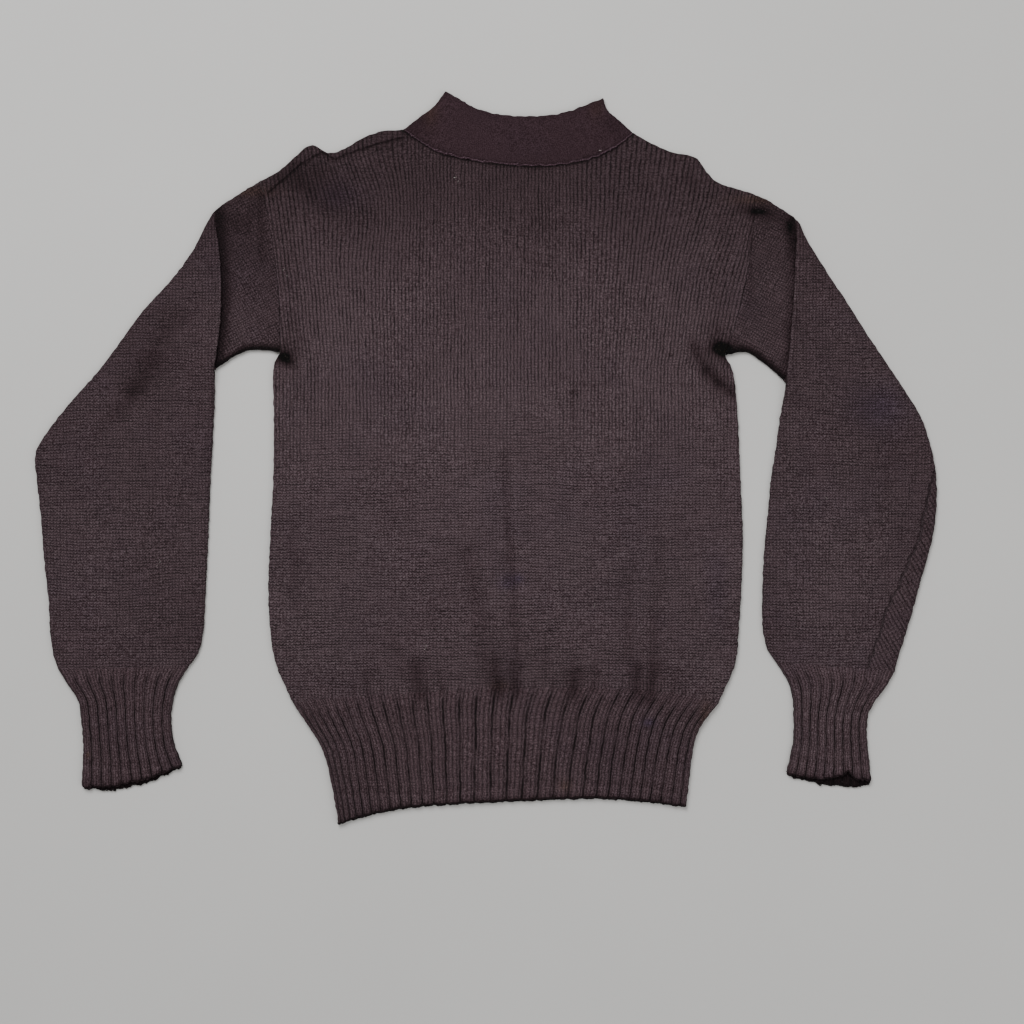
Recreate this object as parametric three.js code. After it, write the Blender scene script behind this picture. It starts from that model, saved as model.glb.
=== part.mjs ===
import * as THREE from 'three';

// A mock neck sweater in plum-brown wool, laid flat on its back with both arms turned down.
// Millimetres: X runs across the garment, Y towards the neck, Z up off the surface it lies on.
// The origin is on that surface, at the middle of the outline. Left and right are as seen from above.

// Driving sizes
const WALL = 2.4; // one layer of plain knit
const GAP = 0.3; // between neighbouring pieces, and between the two layers where they touch
const MIDDLE = WALL + GAP / 2; // height of the plane between the two layers
const FOLD_RADIUS = 3; // a layer is at its full height this far in from a side fold
const FOLD_STEPS = [0.9, FOLD_RADIUS]; // where a side fold's curve has its points
const FOLD_NOSE = 0.8; // a panel's blunt edge where front and back meet at a side fold
const LIFT_STARTS = 12; // the upper layer lifts off the lower one within this of a side fold
const RIB_WALL = 2; // the ribbing's wall at the bottom of a groove
const RIB_DEPTH = 1.3; // from there up to the crest of a rib
const HEM_RIBS = 32; // across the upper layer
const CUFF_RIBS_LEFT = 10;
const CUFF_RIBS_RIGHT = 9;
const TUCK_RISE = 3; // the turned arm's edge above the sleeve's cap, at the underarm
const TUCK_REACH = 45; // how fast that rise dies away along the arm
const TUCK_EDGE = 0.06; // the step's share of the section before it

// How finely each piece is divided
const NECK_STEPS = 12; // along the neck seam
const ARMHOLE_STEPS = 8; // along an armhole, and across a sleeve
const SHOULDER_LEFT_STEPS = 8;
const SHOULDER_RIGHT_STEPS = 7;
const FRONT_STEPS = 12; // from the armpits down to the ribbing
const BACK_STEPS = 4;
const HEM_STEPS = 4;
const BAND_STEPS = 3;

// Where the groove and the crest's two corners come in one rib
const RIB_CORNERS = [
  { at: 0, height: 0 },
  { at: 0.25, height: 1 },
  { at: 0.78, height: 1 },
];

// The body's edges, each from the neck end to the hem end, or from left to right
const SHOULDER_LEFT = [
  { x: -226, y: 276.5 },
  { x: -205.5, y: 288 },
  { x: -187, y: 306 },
  { x: -174, y: 310.5 },
  { x: -159, y: 304.5 },
  { x: -142, y: 308.5 },
  { x: -124, y: 319 },
  { x: -105, y: 325.5 },
  { x: -82, y: 323.5 },
];
const NECK_SEAM = [
  { x: -82, y: 323.5 },
  { x: -46, y: 305.5 },
  { x: -6, y: 297 },
  { x: 30, y: 293 },
  { x: 59, y: 292.5 },
  { x: 94, y: 297 },
  { x: 124, y: 307 },
  { x: 147, y: 320.5 },
];
const SHOULDER_RIGHT = [
  { x: 147, y: 320.5 },
  { x: 165, y: 314.5 },
  { x: 185, y: 306 },
  { x: 209, y: 300.5 },
  { x: 219, y: 288 },
  { x: 231, y: 276 },
  { x: 249, y: 269.5 },
  { x: 269, y: 263.5 },
];
const SIDE_LEFT = [
  { x: -206, y: 105.5 },
  { x: -213, y: 88 },
  { x: -212.5, y: 40 },
  { x: -213, y: -20 },
  { x: -216, y: -80 },
  { x: -218, y: -130 },
  { x: -216, y: -172 },
  { x: -209, y: -205 },
  { x: -193, y: -246 },
];
const SIDE_RIGHT = [
  { x: 238, y: 107.5 },
  { x: 247, y: 88 },
  { x: 252, y: 40 },
  { x: 254.5, y: -20 },
  { x: 257, y: -80 },
  { x: 255.5, y: -130 },
  { x: 252.5, y: -172 },
  { x: 247, y: -205 },
  { x: 229, y: -246 },
];
const RIB_LINE = [
  { x: -193, y: -246 },
  { x: -150, y: -240 },
  { x: -80, y: -236 },
  { x: 10, y: -231 },
  { x: 110, y: -230.5 },
  { x: 180, y: -235 },
  { x: 229, y: -246 },
];
const HEM_SIDE_LEFT = [
  { x: -193, y: -246 },
  { x: -176, y: -272 },
  { x: -163.5, y: -293 },
  { x: -155.5, y: -323 },
  { x: -148, y: -366 },
];
const HEM_SIDE_RIGHT = [
  { x: 229, y: -246 },
  { x: 212, y: -271 },
  { x: 207, y: -294 },
  { x: 203.5, y: -322 },
  { x: 200.5, y: -348.5 },
];
const HEM_EDGE = [
  { x: -148, y: -366 },
  { x: -126, y: -359 },
  { x: -84, y: -350 },
  { x: -30, y: -345.5 },
  { x: 40, y: -342 },
  { x: 108, y: -340 },
  { x: 158, y: -343 },
  { x: 200.5, y: -348.5 },
];
const BAND_SIDE_LEFT = [
  { x: -82, y: 323.5 },
  { x: -68, y: 338.5 },
  { x: -52.5, y: 351.5 },
  { x: -41.5, y: 366 },
];
const BAND_SIDE_RIGHT = [
  { x: 147, y: 320.5 },
  { x: 133, y: 336.5 },
  { x: 122, y: 347.5 },
  { x: 117.5, y: 359 },
];
const BAND_EDGE = [
  { x: -41.5, y: 366 },
  { x: -26, y: 357.5 },
  { x: -7, y: 347.5 },
  { x: 20, y: 341.5 },
  { x: 50, y: 340.5 },
  { x: 75, y: 343.5 },
  { x: 98, y: 351 },
  { x: 117.5, y: 359 },
];

// Sections across the sleeves and cuffs, each from the outer fold to the underarm fold.
// bow is how far its middle stands to the right of a straight line, sag how far below one.
const SLEEVE_LEFT = [
  { outerX: -226, outerY: 276.5, innerX: -206, innerY: 105.5, bow: 6, sag: 0 },
  { outerX: -247, outerY: 264, innerX: -240, innerY: 106.5, bow: 6, sag: 0 },
  { outerX: -273, outerY: 245, innerX: -272.5, innerY: 86.5, bow: 8, sag: 0 },
  { outerX: -293.5, outerY: 207.5, innerX: -271.5, innerY: 79.5, bow: 3, sag: 0 },
  { outerX: -315.5, outerY: 177.5, innerX: -271.5, innerY: 71.5, bow: 0, sag: 0 },
  { outerX: -343, outerY: 147.5, innerX: -271.5, innerY: 59.5, bow: 0, sag: 0 },
  { outerX: -365, outerY: 117.5, innerX: -272, innerY: 45.5, bow: 0, sag: 0 },
  { outerX: -387.5, outerY: 87.5, innerX: -273, innerY: 29.5, bow: 0, sag: 0 },
  { outerX: -414, outerY: 57.5, innerX: -273.5, innerY: 13.5, bow: 0, sag: 0 },
  { outerX: -437, outerY: 29, innerX: -274.5, innerY: -2.5, bow: 0, sag: 0 },
  { outerX: -451, outerY: 4, innerX: -275.5, innerY: -20.5, bow: 0, sag: 0 },
  { outerX: -449.5, outerY: -24, innerX: -276.5, innerY: -42.5, bow: 0, sag: 0 },
  { outerX: -445.5, outerY: -62.5, innerX: -277.5, innerY: -70.5, bow: 0, sag: 0 },
  { outerX: -442.5, outerY: -102.5, innerX: -279, innerY: -104.5, bow: 0, sag: 0 },
  { outerX: -438, outerY: -142.5, innerX: -281, innerY: -142.5, bow: 0, sag: 0 },
  { outerX: -436.5, outerY: -174.5, innerX: -283, innerY: -174.5, bow: 0, sag: 0 },
  { outerX: -433, outerY: -197.5, innerX: -288, innerY: -195.5, bow: 0, sag: 0 },
  { outerX: -428, outerY: -212.5, innerX: -297, innerY: -208.5, bow: 0, sag: 0 },
];
const CUFF_LEFT = [
  { outerX: -428, outerY: -212.5, innerX: -297, innerY: -208.5, bow: 0, sag: 0 },
  { outerX: -418.5, outerY: -228, innerX: -307, innerY: -225, bow: 0, sag: 1 },
  { outerX: -408.5, outerY: -243, innerX: -313, innerY: -243, bow: 0, sag: 2 },
  { outerX: -405.5, outerY: -263, innerX: -315, innerY: -263, bow: 0, sag: 3 },
  { outerX: -403.5, outerY: -287.5, innerX: -312.5, innerY: -284, bow: 0, sag: 5 },
  { outerX: -404, outerY: -308.5, innerX: -308, innerY: -297.5, bow: 0, sag: 7 },
  { outerX: -405, outerY: -329.5, innerX: -304, innerY: -307.5, bow: 0, sag: 8 },
];
const SLEEVE_RIGHT = [
  { outerX: 269, outerY: 263.5, innerX: 238, innerY: 107.5, bow: 7, sag: 0 },
  { outerX: 286, outerY: 255, innerX: 265, innerY: 107.5, bow: 6, sag: 0 },
  { outerX: 311, outerY: 237.5, innerX: 300, innerY: 75, bow: 2, sag: 0 },
  { outerX: 321.5, outerY: 217.5, innerX: 299.5, innerY: 67.5, bow: 1, sag: 0 },
  { outerX: 340, outerY: 187.5, innerX: 298, innerY: 60.5, bow: 0, sag: 0 },
  { outerX: 360, outerY: 157.5, innerX: 296, innerY: 50.5, bow: 0, sag: 0 },
  { outerX: 379, outerY: 127.5, innerX: 294, innerY: 38.5, bow: 0, sag: 0 },
  { outerX: 399, outerY: 97.5, innerX: 292, innerY: 24.5, bow: 0, sag: 0 },
  { outerX: 419, outerY: 67.5, innerX: 290, innerY: 8.5, bow: 0, sag: 0 },
  { outerX: 434.5, outerY: 42.5, innerX: 287, innerY: -8.5, bow: 0, sag: 0 },
  { outerX: 443.5, outerY: 17.5, innerX: 284.5, innerY: -26.5, bow: 0, sag: 0 },
  { outerX: 450, outerY: -12.5, innerX: 283, innerY: -45.5, bow: 0, sag: 0 },
  { outerX: 451, outerY: -47.5, innerX: 280.5, innerY: -70.5, bow: 0, sag: 0 },
  { outerX: 446.5, outerY: -82.5, innerX: 278, innerY: -98.5, bow: 0, sag: 0 },
  { outerX: 435.5, outerY: -122.5, innerX: 276.5, innerY: -132.5, bow: 0, sag: 0 },
  { outerX: 424.5, outerY: -162.5, innerX: 276.5, innerY: -167.5, bow: 0, sag: 0 },
  { outerX: 415, outerY: -192.5, innerX: 281, innerY: -190, bow: 0, sag: 0 },
  { outerX: 409, outerY: -213.5, innerX: 290, innerY: -204.5, bow: 0, sag: 0 },
];
const CUFF_RIGHT = [
  { outerX: 409, outerY: -213.5, innerX: 290, innerY: -204.5, bow: 0, sag: 0 },
  { outerX: 401.5, outerY: -228, innerX: 301.5, innerY: -223, bow: 0, sag: 0 },
  { outerX: 389.5, outerY: -244, innerX: 306.5, innerY: -240, bow: 0, sag: 0 },
  { outerX: 382.5, outerY: -259, innerX: 307.5, innerY: -259, bow: 0, sag: 0 },
  { outerX: 381.5, outerY: -280, innerX: 307.5, innerY: -280, bow: 0, sag: 1 },
  { outerX: 383.5, outerY: -301, innerX: 304.5, innerY: -298, bow: 0, sag: 2 },
  { outerX: 385.5, outerY: -322, innerX: 300.5, innerY: -314.5, bow: 0, sag: 4 },
];

// Soft swells of the upper layer, each a round hill of its own spread
const SWELLS = [
  { place: 'chest', x: 20, y: 150, wide: 170, tall: 130, height: 1.5 },
  { place: 'belly', x: 20, y: -90, wide: 180, tall: 150, height: 1.6 },
  { place: 'hem', x: 30, y: -300, wide: 140, tall: 40, height: 0.9 },
  { place: 'neck band', x: 34, y: 325, wide: 60, tall: 22, height: 0.9 },
  { place: 'left cap', x: -242, y: 180, wide: 26, tall: 50, height: 0.8 },
  { place: 'left arm', x: -362, y: -10, wide: 70, tall: 110, height: 1.4 },
  { place: 'left forearm', x: -362, y: -165, wide: 62, tall: 75, height: 1.2 },
  { place: 'right cap', x: 276, y: 170, wide: 26, tall: 50, height: 0.8 },
  { place: 'right arm', x: 366, y: 0, wide: 70, tall: 110, height: 1.4 },
  { place: 'right forearm', x: 348, y: -160, wide: 58, tall: 75, height: 1.2 },
];

// The largest creases, as troughs along a line from one end to the other
const CREASES = [
  { place: 'belly, middle', fromX: 19, fromY: 2, toX: 30, toY: -182, wide: 9, depth: 1.1 },
  { place: 'belly, left of middle', fromX: -16, fromY: -102, toX: -1, toY: -214, wide: 9, depth: 0.8 },
  { place: 'belly, right', fromX: 141, fromY: -122, toX: 146, toY: -192, wide: 9, depth: 0.9 },
  { place: 'belly, far right', fromX: 176, fromY: -82, toX: 169, toY: -214, wide: 9, depth: 0.7 },
  { place: 'left side', fromX: -186, fromY: -82, toX: -196, toY: -162, wide: 10, depth: 0.7 },
  { place: 'gather 1', fromX: -121, fromY: -205, toX: -117, toY: -238, wide: 10, depth: 0.9 },
  { place: 'gather 2', fromX: -66, fromY: -205, toX: -64, toY: -236, wide: 10, depth: 1.1 },
  { place: 'gather 3', fromX: 12, fromY: -205, toX: 13, toY: -234, wide: 11, depth: 1.3 },
  { place: 'gather 4', fromX: 92, fromY: -208, toX: 91, toY: -233, wide: 11, depth: 1.2 },
  { place: 'gather 5', fromX: 163, fromY: -205, toX: 157, toY: -237, wide: 11, depth: 1.3 },
  { place: 'left shoulder', fromX: -196, fromY: 290, toX: -161, toY: 242, wide: 14, depth: 1.2 },
  { place: 'right shoulder', fromX: 204, fromY: 277, toX: 216, toY: 262, wide: 12, depth: 0.9 },
  { place: 'right armhole', fromX: 264, fromY: 248, toX: 268, toY: 232, wide: 12, depth: 0.9 },
  { place: 'right armpit, upper', fromX: 204, fromY: 117, toX: 214, toY: 85, wide: 9, depth: 1.3 },
  { place: 'right armpit, lower', fromX: 214, fromY: 85, toX: 242, toY: 57, wide: 9, depth: 1.2 },
  { place: 'left arm, upper', fromX: -296, fromY: 147, toX: -336, toY: 107, wide: 12, depth: 1.2 },
  { place: 'left arm, lower', fromX: -336, fromY: 107, toX: -361, toY: 52, wide: 13, depth: 1.3 },
  { place: 'left elbow', fromX: -431, fromY: 2, toX: -424, toY: -20, wide: 12, depth: 0.6 },
  { place: 'right underarm', fromX: 299, fromY: 62, toX: 334, toY: 47, wide: 9, depth: 0.8 },
  { place: 'right elbow', fromX: 402, fromY: -12, toX: 404, toY: -24, wide: 13, depth: 0.7 },
];

// The folds that the arms turn down on, from the shoulder end to the underarm end
const TUCK_ROW = 2; // the sleeves' section that lies along the fold
const TUCKS = [SLEEVE_LEFT[TUCK_ROW], SLEEVE_RIGHT[TUCK_ROW]].map((section) => ({
  fromX: section.outerX,
  fromY: section.outerY,
  toX: section.innerX,
  toY: section.innerY,
}));

const WOOL = { color: 0x42373b, roughness: 0.95, metalness: 0 };
const SLEEVE_WOOL = { color: 0x3c3135, roughness: 0.95, metalness: 0 };
const BAND_WOOL = { color: 0x33272b, roughness: 0.92, metalness: 0 };
const RIB_WOOL = { color: 0x3b3034, roughness: 0.95, metalness: 0 };

// A smooth line through a table's rows, from 0 at the first to 1 at the last
function lineThrough(rows) {
  const spline = new THREE.SplineCurve(rows.map((row) => new THREE.Vector2(row.x, row.y)));
  return (share) => spline.getPoint(share);
}

// Lines end to end as one, each taking up its share of the whole
function joined(stretches) {
  return (share) => {
    let start = 0;
    for (const stretch of stretches) {
      const last = stretch === stretches[stretches.length - 1];
      if (share <= start + stretch.share || last) {
        return stretch.line(Math.min((share - start) / stretch.share, 1));
      }
      start += stretch.share;
    }
  };
}

// A plan filled in between four edges: across runs from left to right, down from top to bottom
function planBetween({ left, right, top, bottom }) {
  const corners = { topLeft: left(0), topRight: right(0), bottomLeft: left(1), bottomRight: right(1) };
  return (across, down) => {
    const point = new THREE.Vector2();
    point.addScaledVector(left(down), 1 - across);
    point.addScaledVector(right(down), across);
    point.addScaledVector(top(across), 1 - down);
    point.addScaledVector(bottom(across), down);
    point.addScaledVector(corners.topLeft, -(1 - across) * (1 - down));
    point.addScaledVector(corners.topRight, -across * (1 - down));
    point.addScaledVector(corners.bottomLeft, -(1 - across) * down);
    point.addScaledVector(corners.bottomRight, -across * down);
    return point;
  };
}

// A plan through sections: across runs along a section, down from the first section to the last
function planThrough(sections) {
  const outer = lineThrough(sections.map((row) => ({ x: row.outerX, y: row.outerY })));
  const inner = lineThrough(sections.map((row) => ({ x: row.innerX, y: row.innerY })));
  const bend = lineThrough(sections.map((row) => ({ x: row.bow, y: -row.sag })));
  return (across, down) => {
    const point = outer(down).lerp(inner(down), across);
    return point.addScaledVector(bend(down), 4 * across * (1 - across));
  };
}

// How far a point lies from a line between two ends, and its share of the way along
function fromLine(line, x, y) {
  const runX = line.toX - line.fromX;
  const runY = line.toY - line.fromY;
  const reach = ((x - line.fromX) * runX + (y - line.fromY) * runY) / (runX * runX + runY * runY);
  const along = THREE.MathUtils.clamp(reach, 0, 1);
  const off = Math.hypot(x - line.fromX - runX * along, y - line.fromY - runY * along);
  return { off, along };
}

// How far the upper layer stands off the lower one at a point, before its side folds close it down
function liftAt(x, y) {
  let lift = 0;
  for (const swell of SWELLS) {
    const spread = ((x - swell.x) / swell.wide) ** 2 + ((y - swell.y) / swell.tall) ** 2;
    lift += swell.height * Math.exp(-spread);
  }
  for (const crease of CREASES) {
    lift -= crease.depth * Math.exp(-((fromLine(crease, x, y).off / crease.wide) ** 2));
  }
  return Math.max(lift, 0);
}

// What the arm's turned edge adds, from nothing at the shoulder to most at the underarm
function tuckAt(x, y) {
  let rise = 0;
  for (const tuck of TUCKS) {
    const { off, along } = fromLine(tuck, x, y);
    rise += TUCK_RISE * along * Math.exp(-off / TUCK_REACH);
  }
  return rise;
}

// 0 on a side fold and 1 from a fold radius inside it, along a quarter circle
function foldShare(distance) {
  const left = 1 - Math.min(distance / FOLD_RADIUS, 1);
  return Math.sqrt(1 - left * left);
}

function liftShare(distance) {
  return THREE.MathUtils.smoothstep(distance, 0, LIFT_STARTS);
}

function evenly(count, from, to) {
  return Array.from({ length: count - 1 }, (_, i) => from + ((to - from) * (i + 1)) / count);
}

// One closed mesh from a list of points and a list of four-cornered faces
function closedMesh(points, faces) {
  const positions = new Float32Array(points.flatMap((point) => [point.x, point.y, point.z]));
  const index = faces.flatMap(([a, b, c, d]) => [a, b, c, a, c, d]);
  let volume = 0;
  for (let i = 0; i < index.length; i += 3) {
    const [a, b, c] = index.slice(i, i + 3).map((n) => points[n]);
    volume += a.dot(new THREE.Vector3().crossVectors(b, c)) / 6;
  }
  if (volume < 0) {
    index.reverse();
  }
  const geometry = new THREE.BufferGeometry();
  geometry.setAttribute('position', new THREE.BufferAttribute(positions, 3));
  geometry.setIndex(index);
  geometry.computeVertexNormals();
  return geometry;
}

// A flattened tube: rings of outer points over a plain inside, open at both ends.
// upper gives the upper layer's places across, with the height that each adds to the wall,
// and under the lower layer's.
function tube({ plan, downs, upper, under, wall, tucked = () => false }) {
  const points = [];
  const rings = [];
  for (const down of downs) {
    const width = plan(0, down).distanceTo(plan(1, down));
    const inset = wall / width;
    const outer = [];
    const inner = [];
    const add = (list, across, z) => {
      const at = plan(across, down);
      list.push(points.length);
      points.push(new THREE.Vector3(at.x, at.y, z));
    };
    const turn = (across) => {
      add(outer, across, MIDDLE);
      add(inner, inset + across * (1 - 2 * inset), MIDDLE);
    };
    turn(0);
    for (const { across, height } of upper) {
      const distance = Math.min(across, 1 - across) * width;
      const at = plan(across, down);
      const rise = liftAt(at.x, at.y) + (tucked(down) ? tuckAt(at.x, at.y) : 0);
      const lift = rise * liftShare(distance);
      const top = MIDDLE + GAP / 2 + wall + height + lift;
      add(outer, across, THREE.MathUtils.lerp(MIDDLE, top, foldShare(distance)));
      add(inner, inset + across * (1 - 2 * inset), MIDDLE + GAP / 2 + lift);
    }
    turn(1);
    for (const across of [...under].reverse()) {
      const distance = Math.min(across, 1 - across) * width;
      add(outer, across, MIDDLE * (1 - foldShare(distance)));
      add(inner, inset + across * (1 - 2 * inset), MIDDLE - GAP / 2);
    }
    rings.push({ outer, inner });
  }
  const faces = [];
  const count = rings[0].outer.length;
  for (let k = 0; k < count; k += 1) {
    const next = (k + 1) % count;
    for (let j = 0; j + 1 < rings.length; j += 1) {
      const [near, far] = [rings[j], rings[j + 1]];
      faces.push([near.outer[k], near.outer[next], far.outer[next], far.outer[k]]);
      faces.push([near.inner[k], far.inner[k], far.inner[next], near.inner[next]]);
    }
    const [first, last] = [rings[0], rings[rings.length - 1]];
    faces.push([first.outer[k], first.inner[k], first.inner[next], first.outer[next]]);
    faces.push([last.outer[k], last.outer[next], last.inner[next], last.inner[k]]);
  }
  return closedMesh(points, faces);
}

// A panel of one layer: a grid of upper points over a grid of lower ones, closed round its edge
function panel({ plan, acrosses, downs, upperAt, lowerAt }) {
  const points = [];
  const layers = [upperAt, lowerAt].map((heightAt) =>
    downs.map((down) =>
      acrosses.map((across) => {
        const at = plan(across, down);
        points.push(new THREE.Vector3(at.x, at.y, heightAt(across, down, at)));
        return points.length - 1;
      }),
    ),
  );
  const [upper, lower] = layers;
  const faces = [];
  for (let j = 0; j + 1 < downs.length; j += 1) {
    for (let i = 0; i + 1 < acrosses.length; i += 1) {
      faces.push([upper[j][i], upper[j + 1][i], upper[j + 1][i + 1], upper[j][i + 1]]);
      faces.push([lower[j][i], lower[j][i + 1], lower[j + 1][i + 1], lower[j + 1][i]]);
    }
    const last = acrosses.length - 1;
    faces.push([upper[j][0], lower[j][0], lower[j + 1][0], upper[j + 1][0]]);
    faces.push([upper[j][last], upper[j + 1][last], lower[j + 1][last], lower[j][last]]);
  }
  for (let i = 0; i + 1 < acrosses.length; i += 1) {
    const last = downs.length - 1;
    faces.push([upper[0][i], upper[0][i + 1], lower[0][i + 1], lower[0][i]]);
    faces.push([upper[last][i], lower[last][i], lower[last][i + 1], upper[last][i + 1]]);
  }
  return closedMesh(points, faces);
}

// Shares of the way along a seam: its ends' fold curves, and even places between them
function seamPlaces(count, length) {
  const [near, far] = FOLD_STEPS.map((step) => step / length);
  return [0, near, far, ...evenly(count, far, 1 - far), 1 - far, 1 - near, 1];
}

function plainColumns(places) {
  return places.slice(1, -1).map((across) => ({ across, height: 0 }));
}

// Ribbing across a tube: a groove and a crest for each rib
function ribColumns(count) {
  const columns = [];
  for (let rib = 0; rib < count; rib += 1) {
    for (const corner of RIB_CORNERS) {
      columns.push({ across: (rib + corner.at) / count, height: RIB_DEPTH * corner.height });
    }
  }
  return columns.slice(1);
}

// The body's plan, shared by the front and the back
const planLeft = planThrough(SLEEVE_LEFT);
const planRight = planThrough(SLEEVE_RIGHT);
const ARMHOLE_SHARE = 0.32; // of the way down the body's side
const SHOULDER_SHARE = 0.29; // of the way across the body's top
const NECK_ENDS = 0.74; // where the neck seam ends and the right shoulder starts
const bodyPlan = planBetween({
  left: joined([
    { line: (share) => planLeft(share, 0), share: ARMHOLE_SHARE },
    { line: lineThrough(SIDE_LEFT), share: 1 - ARMHOLE_SHARE },
  ]),
  right: joined([
    { line: (share) => planRight(share, 0), share: ARMHOLE_SHARE },
    { line: lineThrough(SIDE_RIGHT), share: 1 - ARMHOLE_SHARE },
  ]),
  top: joined([
    { line: lineThrough(SHOULDER_LEFT), share: SHOULDER_SHARE },
    { line: lineThrough(NECK_SEAM), share: NECK_ENDS - SHOULDER_SHARE },
    { line: lineThrough(SHOULDER_RIGHT), share: 1 - NECK_ENDS },
  ]),
  bottom: lineThrough(RIB_LINE),
});
const BODY_WIDTH = 470; // across, for turning a share into millimetres
const NECK_LENGTH = 235; // along the neck seam
const ARMHOLE_LENGTH = 165; // along an armhole
const neckPlaces = seamPlaces(NECK_STEPS, NECK_LENGTH);
const armholePlaces = seamPlaces(ARMHOLE_STEPS, ARMHOLE_LENGTH);
const shoulderStart = FOLD_STEPS[1] / BODY_WIDTH;
const bodyAcrosses = [
  0,
  FOLD_STEPS[0] / BODY_WIDTH,
  shoulderStart,
  ...evenly(SHOULDER_LEFT_STEPS, shoulderStart, SHOULDER_SHARE),
  ...neckPlaces.map((place) => THREE.MathUtils.lerp(SHOULDER_SHARE, NECK_ENDS, place)),
  ...evenly(SHOULDER_RIGHT_STEPS, NECK_ENDS, 1 - shoulderStart),
  1 - shoulderStart,
  1 - FOLD_STEPS[0] / BODY_WIDTH,
  1,
];

function bodyDowns(sideCount) {
  return [
    ...armholePlaces.map((place) => place * ARMHOLE_SHARE),
    ...evenly(sideCount, ARMHOLE_SHARE, 1),
    1,
  ];
}

// How far a place on the body is from its side and shoulder folds, in millimetres
function bodyFoldDistance(across, down) {
  const side = Math.min(across, 1 - across) * BODY_WIDTH;
  const belowShoulder = (down / ARMHOLE_SHARE) * ARMHOLE_LENGTH;
  const aboveArmpit = Math.max(ARMHOLE_LENGTH - belowShoulder, 0);
  const neckShare = (across - SHOULDER_SHARE) / (NECK_ENDS - SHOULDER_SHARE);
  const insideNeck = Math.max(Math.min(neckShare, 1 - neckShare), 0) * NECK_LENGTH;
  return Math.min(Math.hypot(side, aboveArmpit), Math.hypot(belowShoulder, insideNeck));
}

function front() {
  const under = MIDDLE + GAP / 2;
  return panel({
    plan: bodyPlan,
    acrosses: bodyAcrosses,
    downs: bodyDowns(FRONT_STEPS),
    upperAt: (across, down, at) => {
      const distance = bodyFoldDistance(across, down);
      const top = under + WALL + liftAt(at.x, at.y) * liftShare(distance);
      return THREE.MathUtils.lerp(under + FOLD_NOSE, top, foldShare(distance));
    },
    lowerAt: (across, down, at) => {
      return under + liftAt(at.x, at.y) * liftShare(bodyFoldDistance(across, down));
    },
  });
}

function back() {
  return panel({
    plan: bodyPlan,
    acrosses: bodyAcrosses,
    downs: bodyDowns(BACK_STEPS),
    upperAt: () => WALL,
    lowerAt: (across, down) => {
      return (WALL - FOLD_NOSE) * (1 - foldShare(bodyFoldDistance(across, down)));
    },
  });
}

// The share of the way down a plan that leaves the gap at its first seam
function seamShare(plan) {
  const small = 0.001;
  return (GAP * small) / plan(0.5, 0).distanceTo(plan(0.5, small));
}

// Every section's share of the way down, the first one moved off the seam
function sectionShares(sections) {
  const last = sections.length - 1;
  return [seamShare(planThrough(sections)), ...sections.slice(1).map((_, row) => (row + 1) / last)];
}

function sleeve(sections) {
  const shares = sectionShares(sections);
  const fold = shares[TUCK_ROW];
  return tube({
    plan: planThrough(sections),
    downs: [
      ...shares.slice(0, TUCK_ROW),
      THREE.MathUtils.lerp(fold, shares[TUCK_ROW - 1], TUCK_EDGE),
      ...shares.slice(TUCK_ROW),
    ],
    upper: plainColumns(armholePlaces),
    under: armholePlaces.slice(1, -1),
    wall: WALL,
    tucked: (down) => down >= fold,
  });
}

function cuff(sections, ribs) {
  return tube({
    plan: planThrough(sections),
    downs: sectionShares(sections),
    upper: ribColumns(ribs),
    under: armholePlaces.slice(1, -1),
    wall: RIB_WALL,
  });
}

function hemRib() {
  const plan = planBetween({
    left: lineThrough(HEM_SIDE_LEFT),
    right: lineThrough(HEM_SIDE_RIGHT),
    top: lineThrough(RIB_LINE),
    bottom: lineThrough(HEM_EDGE),
  });
  return tube({
    plan,
    downs: [seamShare(plan), ...evenly(HEM_STEPS, 0, 1), 1],
    upper: ribColumns(HEM_RIBS),
    under: bodyAcrosses.slice(1, -1),
    wall: RIB_WALL,
  });
}

function neckBand() {
  const plan = planBetween({
    left: lineThrough(BAND_SIDE_LEFT),
    right: lineThrough(BAND_SIDE_RIGHT),
    top: lineThrough(NECK_SEAM),
    bottom: lineThrough(BAND_EDGE),
  });
  return tube({
    plan,
    downs: [seamShare(plan), ...evenly(BAND_STEPS, 0, 1), 1],
    upper: plainColumns(neckPlaces),
    under: neckPlaces.slice(1, -1),
    wall: WALL,
  });
}

const sweater = new THREE.Group();

function add(name, geometry, look) {
  const mesh = new THREE.Mesh(geometry, new THREE.MeshStandardMaterial(look));
  mesh.name = name;
  sweater.add(mesh);
}

add('back', back(), WOOL);
add('front', front(), WOOL);
add('neck_band', neckBand(), BAND_WOOL);
add('hem_rib', hemRib(), RIB_WOOL);
add('sleeve_left', sleeve(SLEEVE_LEFT), SLEEVE_WOOL);
add('sleeve_right', sleeve(SLEEVE_RIGHT), SLEEVE_WOOL);
add('cuff_left', cuff(CUFF_LEFT, CUFF_RIBS_LEFT), RIB_WOOL);
add('cuff_right', cuff(CUFF_RIGHT, CUFF_RIBS_RIGHT), RIB_WOOL);

export default sweater;
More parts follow.
